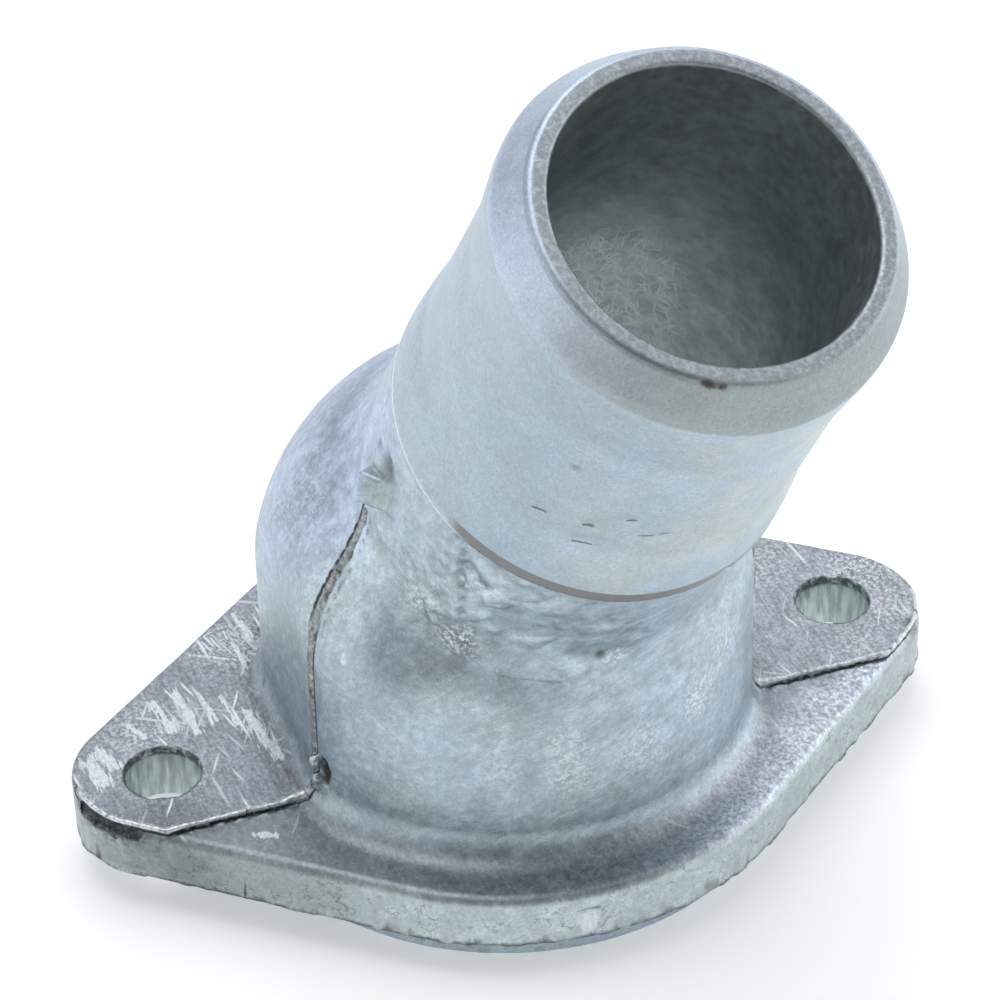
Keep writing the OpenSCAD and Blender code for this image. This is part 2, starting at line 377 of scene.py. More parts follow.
class CastingField:
    """Signed distance of the casting at points in millimetres, negative inside."""

    # Points of the seam's path round an ear, along its pad and up the body
    EAR_POINTS = 12
    PAD_POINTS = 24
    WALL_POINTS = 90

    def __init__(self, sizes):
        for key in HousingSizes.__annotations__:
            value = getattr(sizes, key)
            plain = key in ("cast_turn", "flat_draft", "neck_tilt", "neck_turn", "faces")
            setattr(self, key, value if plain else value / MM)
        tilt, turn = self.neck_tilt, self.neck_turn
        self.base = np.array([0.0, 0.0, self.neck_height])
        self.axis = np.array([
            math.sin(tilt) * math.sin(turn), -math.sin(tilt) * math.cos(turn), math.cos(tilt)])
        self.across = np.array([math.cos(turn), math.sin(turn), 0.0])
        self.behind = np.cross(self.axis, self.across)
        self.profile()

    def profile(self):
        """Smoothed outside radius of the neck against the length along it."""
        top = self.neck_length
        low = self.collar_place
        lead = 4.2
        fall = (self.bead_radius - self.rim_radius) / lead
        s = np.arange(low - 3.0, top + 3.0, 0.05)
        knots = [low, low + 3.6, low + 6.8, low + 9.0, top - 14.5, top - 5.8, top - lead, top + lead]
        radii = [
            self.collar_radius, self.collar_radius - 0.2, self.tube_low + 0.45, self.tube_low, self.tube_top,
            self.bead_radius, self.bead_radius, self.bead_radius - 2.0 * lead * fall]
        r = np.interp(s, knots, radii)
        kernel = np.exp(-0.5 * (np.arange(-40, 41) * 0.05 / 0.45) ** 2)
        soft = np.convolve(np.pad(r, 40, mode="edge"), kernel / kernel.sum(), mode="valid")
        self.s = s
        self.r = soft
        self.lean = 1.0 / np.sqrt(1.0 + np.gradient(soft, s) ** 2)

    def cast_xy(self, p):
        """Place in the cast outline's own axes."""
        c, s = math.cos(self.cast_turn), math.sin(self.cast_turn)
        return c * p[:, 0] + s * p[:, 1], -s * p[:, 0] + c * p[:, 1]

    def outline(self, x, y):
        """Distance from the flange's outline."""
        half = self.bolt_spacing / 2.0
        u, v = np.abs(y), np.abs(x)
        b = (self.flange_radius - self.ear_radius) / half
        a = math.sqrt(1.0 - b * b)
        k = a * v - b * u
        middle = np.sqrt(u * u + v * v) - self.flange_radius
        ear = np.sqrt(u * u + (v - half) ** 2) - self.ear_radius
        line = a * u + b * v - self.flange_radius
        return np.where(k < 0.0, middle, np.where(k > a * half, ear, line))

    def neck_place(self, p):
        """Length along the neck axis, distance from it, and the two places across it."""
        q = p - self.base
        s = q @ self.axis
        u = q @ self.across
        v = q @ self.behind
        return s, np.sqrt(u * u + v * v), u, v

    def hole_gap(self, p):
        """Distance from the wall of the nearer bolt hole."""
        half = self.bolt_spacing / 2.0
        return np.sqrt((np.abs(p[:, 0]) - half) ** 2 + p[:, 1] ** 2) - self.hole_radius

    def flange(self, p):
        """Flange plate with its pads, the step at the parting line and the spigot."""
        x, y = self.cast_xy(p)
        z = p[:, 2]
        side = self.outline(x, y)
        ragged = 0.10 * np.sin(2.3 * x + 1.0) * np.sin(0.71 * x) + 0.07 * np.sin(5.9 * x + 0.4)
        burr = 0.22 * np.exp(-(z / 0.45) ** 2) * np.clip(waves(p, 2.6, 12, 8), 0.0, 1.0)
        low = trim(side - burr, z - (self.pad_height - self.front_step), self.front_round)
        low = trim(low, -z, 0.2)
        inset = 0.45 * step(-y, 0.5, 4.0)
        lip = -y - self.parting + ragged
        rim = side + inset + 0.6 * ragged * step(-y, 0.5, 4.0)
        edge = np.maximum(lip, np.where(y < 0.0, rim, -9.0))
        lift = 0.16 * np.exp(-((edge + 0.35) / 0.3) ** 2) * (0.55 + 4.0 * ragged)
        pad = trim(rim, z - self.pad_height - lift, self.pad_round)
        pad = trim(pad, lip, 0.12)
        pad = np.maximum(pad, 3.0 - z)
        rho = np.sqrt(p[:, 0] ** 2 + p[:, 1] ** 2)
        pilot = trim(rho - self.pilot_radius, -self.pilot_height - z, 0.6)
        pilot = np.maximum(pilot, z - 3.0)
        plate = np.minimum(low, pad)
        gap, torn = self.torn_gap(x, y, z, side)
        width = (0.55 + 0.2 * waves(p, 2.2, 13, 6)) * torn - 0.2
        plate = np.maximum(plate, width - gap)
        return np.minimum(plate, pilot)

    def torn_gap(self, x, y, z, side):
        """Distance from the middle of the torn gap under the left pad's lip, and how far it is open."""
        gap = np.sqrt((side + 0.35) ** 2 + 0.36 * (z - self.pad_height + 1.2) ** 2)
        turn = np.arctan2(-y, -x - self.bolt_spacing / 2.0)
        return gap, step(turn, -0.05, 0.3) * drop(turn, 0.95, 1.25)

    def body(self, p):
        """Round body and dome, trimmed by the two side flats."""
        x, y = self.cast_xy(p)
        z = p[:, 2]
        rho = np.sqrt(p[:, 0] ** 2 + p[:, 1] ** 2)
        rise = z - self.dome_height
        wall = rho - self.body_radius + (self.body_radius - self.dome_radius) * z / self.dome_height
        dome = np.sqrt(rho * rho + rise * rise) - self.dome_radius
        round_body = np.maximum(np.where(rise < 0.0, wall, dome), 1.0 - z)
        flats = np.abs(x) * math.cos(self.flat_draft) - y * math.sin(self.flat_draft) - self.flat_half
        return trim(round_body, flats, 0.8)

    def neck(self, p):
        """Tube with collar and bead, and the root with its thicker back."""
        s, q, u, v = self.neck_place(p)
        r = np.interp(s, self.s, self.r)
        lean = np.interp(s, self.s, self.lean)
        edge = 0.12 + 0.24 * drop(v, -12.0, -4.0)
        tube = trim((q - r) * lean, self.collar_place - s, edge)
        tube = trim(tube, s - self.neck_length, 0.32)
        wander = 0.4 * np.sin(0.93 * s) + 0.25 * np.sin(2.17 * s + 1.0) * np.sin(0.41 * s)
        parting_left = -6.6 - 0.32 * (33.0 - s) + wander
        parting_right = -3.0
        turn = np.where(u < 0.0, parting_left, parting_right)
        root_r = self.root_front + (self.root_back - self.root_front) * step(v - turn, -0.3, 0.3)
        root = np.maximum(np.maximum(q - root_r, s - self.collar_place - 0.4), -s)
        return join(tube, root, 0.15)

    def water_way(self, p):
        """Valve recess, body cavity and neck bore."""
        z = p[:, 2]
        rho = np.sqrt(p[:, 0] ** 2 + p[:, 1] ** 2)
        low_r = self.body_radius - self.wall + 0.5
        top_r = self.dome_radius - self.wall
        rise = z - self.dome_height
        t = (z + self.pilot_height) / (self.dome_height + self.pilot_height)
        cone = rho - low_r + (low_r - top_r) * t
        dome = np.sqrt(rho * rho + rise * rise) - top_r
        cavity = np.where(rise < 0.0, cone, dome)
        recess = np.maximum(rho - self.recess_radius, z + self.pilot_height - self.recess_depth)
        s, q, *_ = self.neck_place(p)
        bore = np.maximum(q - self.bore_radius, -s)
        return np.minimum(recess, join(cavity, bore, 1.2))

    def solid(self, p):
        """The casting without its marks."""
        shape = join(self.body(p), self.neck(p), self.root_blend)
        shape = join(shape, self.flange(p), self.foot_fillet)
        shape = trim(shape, -self.water_way(p), 0.5)
        hole = self.hole_gap(p) - 0.05 * np.sin(3.0 * p[:, 0] + 5.0 * p[:, 1]) * np.sin(1.7 * p[:, 2])
        near = np.abs(hole) < 1.5
        ragged = np.clip(0.5 + 0.5 * waves(p[near], 3.0, 14, 6), 0.0, 1.0)
        hole[near] += 0.26 * step(p[near, 2], 5.8, 6.6) * ragged
        return trim(shape, -hole, 0.2)

    def row_place(self, x, y, z):
        """Point in the part's frame from a place in the cast outline's axes."""
        c, s = math.cos(self.cast_turn), math.sin(self.cast_turn)
        return c * x - s * y, s * x + c * y, z

    def seam_path(self, side):
        """Die parting line from the end of one ear, along its pad, to the body and up to the neck root."""
        half = self.bolt_spacing / 2.0
        open_to = math.acos((self.flange_radius - self.ear_radius) / half)
        r = self.ear_radius - 0.45
        path = []
        for turn in np.linspace(0.05, open_to, self.EAR_POINTS):
            x = side * (half + r * math.cos(turn))
            path.append(self.row_place(x, -r * math.sin(turn), self.pad_height))
        run = (self.parting - r * math.sin(open_to)) / math.cos(open_to)
        corner = half + r * math.cos(open_to) - run * math.sin(open_to)
        for x in np.linspace(corner, 29.5, self.PAD_POINTS):
            path.append(self.row_place(side * x, -self.parting, self.pad_height))
        rise = np.linspace(self.pad_height + 0.4, 44.0, self.WALL_POINTS)
        outer, inner = np.full(len(rise), 34.0), np.full(len(rise), 10.0)
        for _ in range(24):
            middle = 0.5 * (outer + inner)
            free = self.solid(np.stack(self.row_place(side * middle, -self.parting, rise), -1)) > 0.0
            outer, inner = np.where(free, middle, outer), np.where(free, inner, middle)
        path += list(zip(*self.row_place(side * outer, -self.parting, rise)))
        return np.array(path)

    def crusting(self, p):
        """Height of the crusted skin, nought where the skin is plain."""
        total = np.zeros(len(p))
        for number, (place, reach, height, size) in enumerate(CRUSTS):
            gap = ((p - np.array(place)) ** 2).sum(1) / (reach * reach)
            near = gap < 2.2
            if near.any():
                total[near] += height * np.exp(-gap[near] ** 2) * crust(p[near], size, 20 + 7 * number)
        return total

    def fold_place(self, p, path):
        """Points near a fold, their distance to its left seen from outside, and the fold's strength there."""
        path = np.array(path)
        centre = path.mean(0)
        far = np.linalg.norm(path - centre, axis=1).max() + 5.0
        near = np.linalg.norm(p - centre, axis=1) < far
        gap, run, off, way = along(p[near], path)
        out = p[near] * np.array([1.0, 1.0, 0.0])
        out /= np.maximum(np.linalg.norm(out, axis=1), 1e-6)[:, None]
        left = (np.cross(out, way) * off).sum(1)
        total = np.linalg.norm(np.diff(path, axis=0), axis=1).sum()
        ends = step(run, 0.0, 0.12 * total) * drop(run, 0.85 * total, total)
        return near, left, ends * np.exp(-(gap / 2.6) ** 2)

    def marks(self, p, d):
        """Adds the block by the collar, crust, folds, beads of metal and pits to the plain casting."""
        for place, size, turn, edge in BLOCKS:
            near = np.linalg.norm(p - place, axis=1) < 9.0
            if near.any():
                q = (p[near] - place) @ np.array(turn).T
                w = np.abs(q) - np.array(size) + edge
                box = np.linalg.norm(np.maximum(w, 0.0), axis=1) + np.minimum(w.max(1), 0.0) - edge
                d[near] = join(d[near], box, 0.5)
        d = d - self.crusting(p)
        for path, height, crease in FOLDS:
            near, left, fade = self.fold_place(p, path)
            d[near] -= fade * (height * step(left, -0.2, 0.2) - crease * np.exp(-(left / 0.3) ** 2))
        for place, radius in BEADS:
            near = np.linalg.norm(p - place, axis=1) < 3.0
            d[near] = join(d[near], np.linalg.norm(p[near] - place, axis=1) - radius, 0.2)
        for place, reach, depth in DENTS:
            gap = ((p - np.array(place)) ** 2).sum(1) / (reach * reach)
            d = d + depth * np.exp(-gap)
        return d

    def __call__(self, p):
        d = self.solid(p)
        d = d + self.skin_wave * (0.7 * waves(p, 16.0, 3, 7) + 0.3 * waves(p, 6.0, 4, 7)) * 0.6
        return self.marks(p, d)

    def slope(self, p, reach=0.06):
        """Unit-free gradient of the field by small differences."""
        g = np.empty_like(p)
        for k in range(3):
            shift = np.zeros(3)
            shift[k] = reach
            g[:, k] = (self(p + shift) - self(p - shift)) / (2.0 * reach)
        return g

    def settle(self, p, rounds, limit):
        """Moves points onto the surface along the field's slope."""
        for _ in range(rounds):
            d = self(p)
            g = self.slope(p)
            move = d / np.maximum((g * g).sum(1), 0.25)
            p = p - np.clip(move, -limit, limit)[:, None] * g
        return p


def blobs(p, spots):
    """Sum of soft round spots, each a place, a reach and a strength."""
    total = np.zeros(len(p))
    for place, reach, *strength in spots:
        gap = ((p - np.array(place)) ** 2).sum(1) / (reach * reach)
        total += (strength[0] if strength else 1.0) * np.exp(-gap * gap)
    return np.clip(total, 0.0, 1.0)


def skin_masks(field, p, n):
    """Where each finish and each painted light or shade lies on the casting, as values for its points."""
    x, y = field.cast_xy(p)
    z = p[:, 2]
    side = field.outline(x, y)
    s, *_ = field.neck_place(p)
    water = field.water_way(p)
    hole = field.hole_gap(p)
    upward = step(n[:, 2], 0.5, 0.9) * step(z, 5.6, 6.1) * drop(z, 9.0, 11.0)
    upright = drop(np.abs(n[:, 2]), 0.5, 0.8)
    on_rim = step(n @ field.axis, 0.5, 0.8) * step(s, 74.0, 75.0)
    opening, torn = field.torn_gap(x, y, z, side)
    light = np.zeros(len(p))
    dark = np.zeros(len(p))
    for path, height, crease in FOLDS:
        near, left, fade = field.fold_place(p, path)
        light[near] += (height > 0.0) * fade * np.exp(-((left - 0.35) / 0.5) ** 2)
        dark[near] += (crease > 0.1) * fade * np.exp(-(left / 0.32) ** 2)
    across = np.full(len(p), 9.0)
    for sign in (-1.0, 1.0):
        near = (sign * p[:, 0] > 8.0) & (np.abs(y + 6.0) < 14.0) & (z > 2.0) & (z < 50.0)
        gap, _, off, way = along(p[near], field.seam_path(sign))
        front = -sign * (np.cross(way, n[near]) * off).sum(1)
        across[near] = np.copysign(np.minimum(gap, 9.0), front)
    return {
        "top_face": upward,
        "pad_face": upward * step(y, -field.parting - 0.1, -field.parting + 0.2),
        "side_wall": upright * step(side, -1.2, -0.5) * step(z, -0.4, 0.0) * drop(z, 7.2, 8.0),
        "inside": drop(water, 0.25, 0.8) * (1.0 - on_rim),
        "depth": np.clip(field.neck_length - s, 0.0, 90.0),
        "hole_wall": drop(np.abs(hole), 0.15, 0.4) * drop(np.abs(n[:, 2]), 0.4, 0.7),
        "tear": drop(opening, 0.5, 0.85) * torn,
        "side": np.clip(side, -20.0, 2.0),
        # Height of the crust, also for its painted light and shade
        "crust": field.crusting(p) / 0.13,
        "fold_light": np.clip(light, 0.0, 1.0),
        "fold_dark": np.clip(dark, 0.0, 1.0),
        "low_edge": step(side, -0.7, -0.25) * drop(z, 0.25, 0.5) * step(z, -0.5, -0.2),
        # Where the front of the flange comes out of the neck's painted shadow
        "light_side": step(x, 2.0, 24.0),
        "seam_high": step(z, 28.0, 33.0),
        "tube": step(s, field.collar_place, field.collar_place + 0.8)
        * drop(-n @ field.axis, 0.6, 0.9),
        # Wide hollows, for painted shade
        "hollow_wide": np.clip(1.0 - field.solid(p + 7.0 * n) / 7.0, 0.0, 1.0),
        # Convex edges, for wear and painted highlight
        "edge": np.clip(1.0 + field.solid(p - 0.7 * n) / 0.7, 0.0, 1.0)
        * (1.0 - blobs(p, [(place, 6.0) for place, *_ in BLOCKS])),
        "block": blobs(p, [(place, 3.2) for place, *_ in BLOCKS]),
        "seam_across": across,
        "scratched": blobs(p, SCRATCHED),
        "flecks": blobs(p, FLECKS),
        "hairs": blobs(p, HAIRS),
        "chip": blobs(p, CHIP),
        "stain": blobs(p, DARK_PITS),
        "shade": blobs(p, SHADES),
    }


def in_parts(call, p, size=400000):
    """Runs a field call on many points in parts."""
    return np.concatenate([call(p[i:i + size]) for i in range(0, len(p), size)])


def net(field, lo, hi, h, block=8):
    """Quad mesh of a field's zero surface on a sparse grid, one corner for each crossed cell.

    Each corner is the point that best meets the tangent planes of the crossings around its cell,
    so edges stay sharp.
    """
    lo = np.asarray(lo, float)
    count = np.ceil((np.asarray(hi, float) - lo) / (h * block)).astype(int)
    total = count * block + 2
    cells = np.stack(np.meshgrid(*[np.arange(n) for n in count], indexing="ij"), -1).reshape(-1, 3)
    middle = lo + (cells + 0.5) * h * block
    cells = cells[np.abs(in_parts(field, middle)) < h * block * 0.5 * math.sqrt(3.0) * 1.25 + 0.6]
    n = block + 1
    grid = np.stack(np.meshgrid(*[np.arange(n)] * 3, indexing="ij"), -1).reshape(-1, 3)
    ways, starts, outs, shares = [], [], [], []
    for first in range(0, len(cells), 500):
        part = cells[first:first + 500]
        points = (part[:, None, :] * block + grid[None, :, :]).reshape(-1, 3)
        value = field(lo + points * h).reshape(len(part), n, n, n)
        for way in range(3):
            head = [slice(None)] + [slice(0, block)] * 3
            tail = list(head)
            tail[way + 1] = slice(1, block + 1)
            a = value[tuple(head)]
            b = value[tuple(tail)]
            which, i, j, k = np.nonzero((a < 0.0) != (b < 0.0))
            one = a[which, i, j, k]
            ways.append(np.full(len(which), way))
            starts.append(part[which] * block + np.stack([i, j, k], -1))
            outs.append(one < 0.0)
            shares.append(one / (one - b[which, i, j, k]))
    ways = np.concatenate(ways)
    starts = np.concatenate(starts)
    outs = np.concatenate(outs)
    spots = starts.astype(float)
    spots[np.arange(len(ways)), ways] += np.concatenate(shares)
    spots = lo + spots * h
    slopes = in_parts(lambda q: field.slope(q, 0.04), spots)
    slopes /= np.maximum(np.linalg.norm(slopes, axis=1), 1e-9)[:, None]
    ring = []
    for da, db in ((0, 0), (-1, 0), (-1, -1), (0, -1)):
        c = starts.copy()
        rows = np.arange(len(c))
        c[rows, (ways + 1) % 3] += da
        c[rows, (ways + 2) % 3] += db
        ring.append((c[:, 0] * total[1] + c[:, 1]) * total[2] + c[:, 2])
    keys, quads = np.unique(np.stack(ring, -1), return_inverse=True)
    quads = quads.reshape(-1, 4)
    owner = quads.ravel()
    spots = np.repeat(spots, 4, axis=0)
    slopes = np.repeat(slopes, 4, axis=0)

    def gather(values):
        return np.bincount(owner, values, len(keys))

    hits = gather(np.ones(len(owner)))
    mean = np.stack([gather(spots[:, k]) for k in range(3)], -1) / hits[:, None]
    reach = ((spots - mean[owner]) * slopes).sum(1)
    left = np.zeros((len(keys), 3, 3))
    right = np.stack([gather(slopes[:, k] * reach) for k in range(3)], -1)
    for i in range(3):
        for j in range(3):
            left[:, i, j] = gather(slopes[:, i] * slopes[:, j]) + (0.04 * hits if i == j else 0.0)
    move = np.linalg.solve(left, right[:, :, None])[:, :, 0]
    places = mean + np.clip(move, -0.8 * h, 0.8 * h)
    quads[~outs] = quads[~outs][:, ::-1]
    return places, quads


# Materials

def add_node(tree, kind, inputs=None, **settings):
    """Adds a node to a tree, with its settings, and with each input linked or set."""
    made = tree.nodes.new(kind)
    for key, value in settings.items():
        setattr(made, key, value)
    for key, value in (inputs or {}).items():
        if isinstance(value, bpy.types.NodeSocket):
            tree.links.new(value, made.inputs[key])
        else:
            made.inputs[key].default_value = value
    return made


class Shade:
    """Makes one material, with plain calls for the few kinds of shader node that the finishes use."""

    def __init__(self, name):
        self.mat = bpy.data.materials.new(name)
        self.mat.use_nodes = True
        self.tree = self.mat.node_tree
        self.at = self.node("ShaderNodeTexCoord").outputs["Object"]

    def node(self, kind, inputs=None, **settings):
        return add_node(self.tree, kind, inputs, **settings)

    def surface(self, inputs):
        """Links or sets the shader's own inputs."""
        bsdf = self.tree.nodes["Principled BSDF"]
        for key, value in inputs.items():
            if isinstance(value, bpy.types.NodeSocket):
                self.tree.links.new(value, bsdf.inputs[key])
            else:
                bsdf.inputs[key].default_value = value

    def bump(self, height, strength, distance):
        """Normal of a fine relief, with its height in millimetres."""
        given = {"Height": height, "Strength": strength, "Distance": distance * MM}
        return self.node("ShaderNodeBump", given).outputs[0]

    def mask(self, name):
        return self.node("ShaderNodeAttribute", attribute_name=name).outputs["Fac"]

    def math(self, operation, a, b=0.0, clamp=False):
        return self.node("ShaderNodeMath", {0: a, 1: b}, operation=operation, use_clamp=clamp).outputs[0]

    def vector(self, operation, *values):
        return self.node("ShaderNodeVectorMath", dict(enumerate(values)), operation=operation).outputs

    def plus(self, a, b, share=1.0):
        """One value and a share of another."""
        return self.math("ADD", a, self.math("MULTIPLY", b, share))

    def but(self, value):
        """What is left of one."""
        return self.math("SUBTRACT", 1.0, value)

    def off_middle(self, value):
        """Noise moved about nought."""
        return self.math("SUBTRACT", value, 0.5)

    def most(self, *values):
        """Largest of several values."""
        best = values[0]
        for value in values[1:]:
            best = self.math("MAXIMUM", best, value)
        return best

    def product(self, *values):
        """Product of several values."""
        total = values[0]
        for value in values[1:]:
            total = self.math("MULTIPLY", total, value)
        return total

    def length_of(self, a, b):
        """Length of a vector with two parts."""
        return self.math("SQRT", self.math("ADD", self.product(a, a), self.product(b, b)))

    def mix(self, amount, a, b):
        given = {0: amount, 6: a, 7: b}
        return self.node("ShaderNodeMix", given, data_type="RGBA", clamp_factor=True).outputs[2]

    def scale(self, tone, amount):
        """Tone made lighter or darker."""
        given = tone if isinstance(tone, bpy.types.NodeSocket) else tone[:3]
        return self.node("ShaderNodeVectorMath", {0: given, "Scale": amount}, operation="SCALE").outputs[0]

    def band(self, value, lo, hi, low=0.0, high=1.0):
        """Smooth step from low at lo to high at hi."""
        given = {"Value": value, "From Min": lo, "From Max": hi, "To Min": low, "To Max": high}
        return self.node("ShaderNodeMapRange", given, interpolation_type="SMOOTHSTEP").outputs[0]

    def fade(self, value, lo, hi):
        """Smooth step from one at lo down to nought at hi."""
        return self.band(value, lo, hi, 1.0, 0.0)

    def zone(self, *limits):
        """Product of several smooth steps."""
        return self.product(*[self.band(*limit) for limit in limits])

    def vary(self, tone, value, lo, hi, low, high):
        """Tone made lighter or darker by a smooth step of a value."""
        return self.scale(tone, self.band(value, lo, hi, low, high))

    def noise(self, place, size, detail, rough, seed):
        """Noise with features of a size in millimetres."""
        given = {"Vector": place, "W": seed, "Scale": 1.0 / (size * MM), "Detail": detail, "Roughness": rough}
        return self.node("ShaderNodeTexNoise", given, noise_dimensions="4D").outputs[0]

    def stretch(self, place, ratio):
        return self.node("ShaderNodeMapping", {"Vector": place, "Scale": ratio}).outputs[0]

    def bend(self, place, size, push, seed):
        """Place pushed about by noise, with the push in millimetres."""
        spread = self.noise(place, size, 2.0, 0.5, seed).node.outputs["Color"]
        about = self.vector("SUBTRACT", spread, (0.5, 0.5, 0.5))[0]
        return self.vector("MULTIPLY_ADD", about, [push * MM] * 3, place)[0]

    def flow(self, place, turn, run, size, seed):
        """Noise drawn out along one direction."""
        given = {"Vector": place, "Rotation": turn, "Scale": (run, 1.0, 1.0)}
        drawn = self.node("ShaderNodeMapping", given, vector_type="TEXTURE").outputs[0]
        return self.noise(drawn, size, 4.0, 0.6, seed)

    def reach(self, way, start=0.0):
        """Place along a direction, in millimetres from a start."""
        place = self.vector("DOT_PRODUCT", self.at, [c / MM for c in way])["Value"]
        return self.math("SUBTRACT", place, float(start))

    def dashes(self, place, turn, width, run, seed, keep):
        """Single tapered strokes on a level face, one for each cell; keep is the share that is drawn."""
        spread = self.node("ShaderNodeMapping", {
            "Vector": place, "Location": (seed * 0.37, seed * 0.53, 0.0),
            "Rotation": (0.0, 0.0, turn), "Scale": (width * MM, run * MM, 1.0)}, vector_type="TEXTURE")
        cell = self.node(
            "ShaderNodeTexVoronoi", {"Vector": spread.outputs[0], "Scale": 1.0},
            voronoi_dimensions="2D", feature="F1").outputs
        chance = self.node("ShaderNodeSeparateColor", {0: cell["Color"]}).outputs
        drawn = self.band(self.math("ADD", chance[0], keep), 0.97, 1.03)
        strength = self.band(chance[1], 0.0, 1.0, 0.4, 1.0)
        return self.product(drawn, strength, self.fade(cell["Distance"], 0.12, 0.30))

    def smear(self, start, end, width):
        """One along the middle of a stroke, nought at its half width, below nought beyond."""
        start = Vector(start)
        way = Vector(end) - start
        scale = 1.0 / way.length_squared
        share = self.math("ADD", self.reach(way * scale, start.dot(way) * scale), 0.0, clamp=True)
        near = self.vector("MULTIPLY_ADD", share, way * MM, start * MM)[0]
        gap = self.vector("DISTANCE", self.at, near)["Value"]
        return self.plus(1.0, gap, -1.0 / (width * MM))

    def smears(self, strokes):
        """Several strokes in one."""
        return self.most(-1.0, *[self.smear(*stroke) for stroke in strokes])


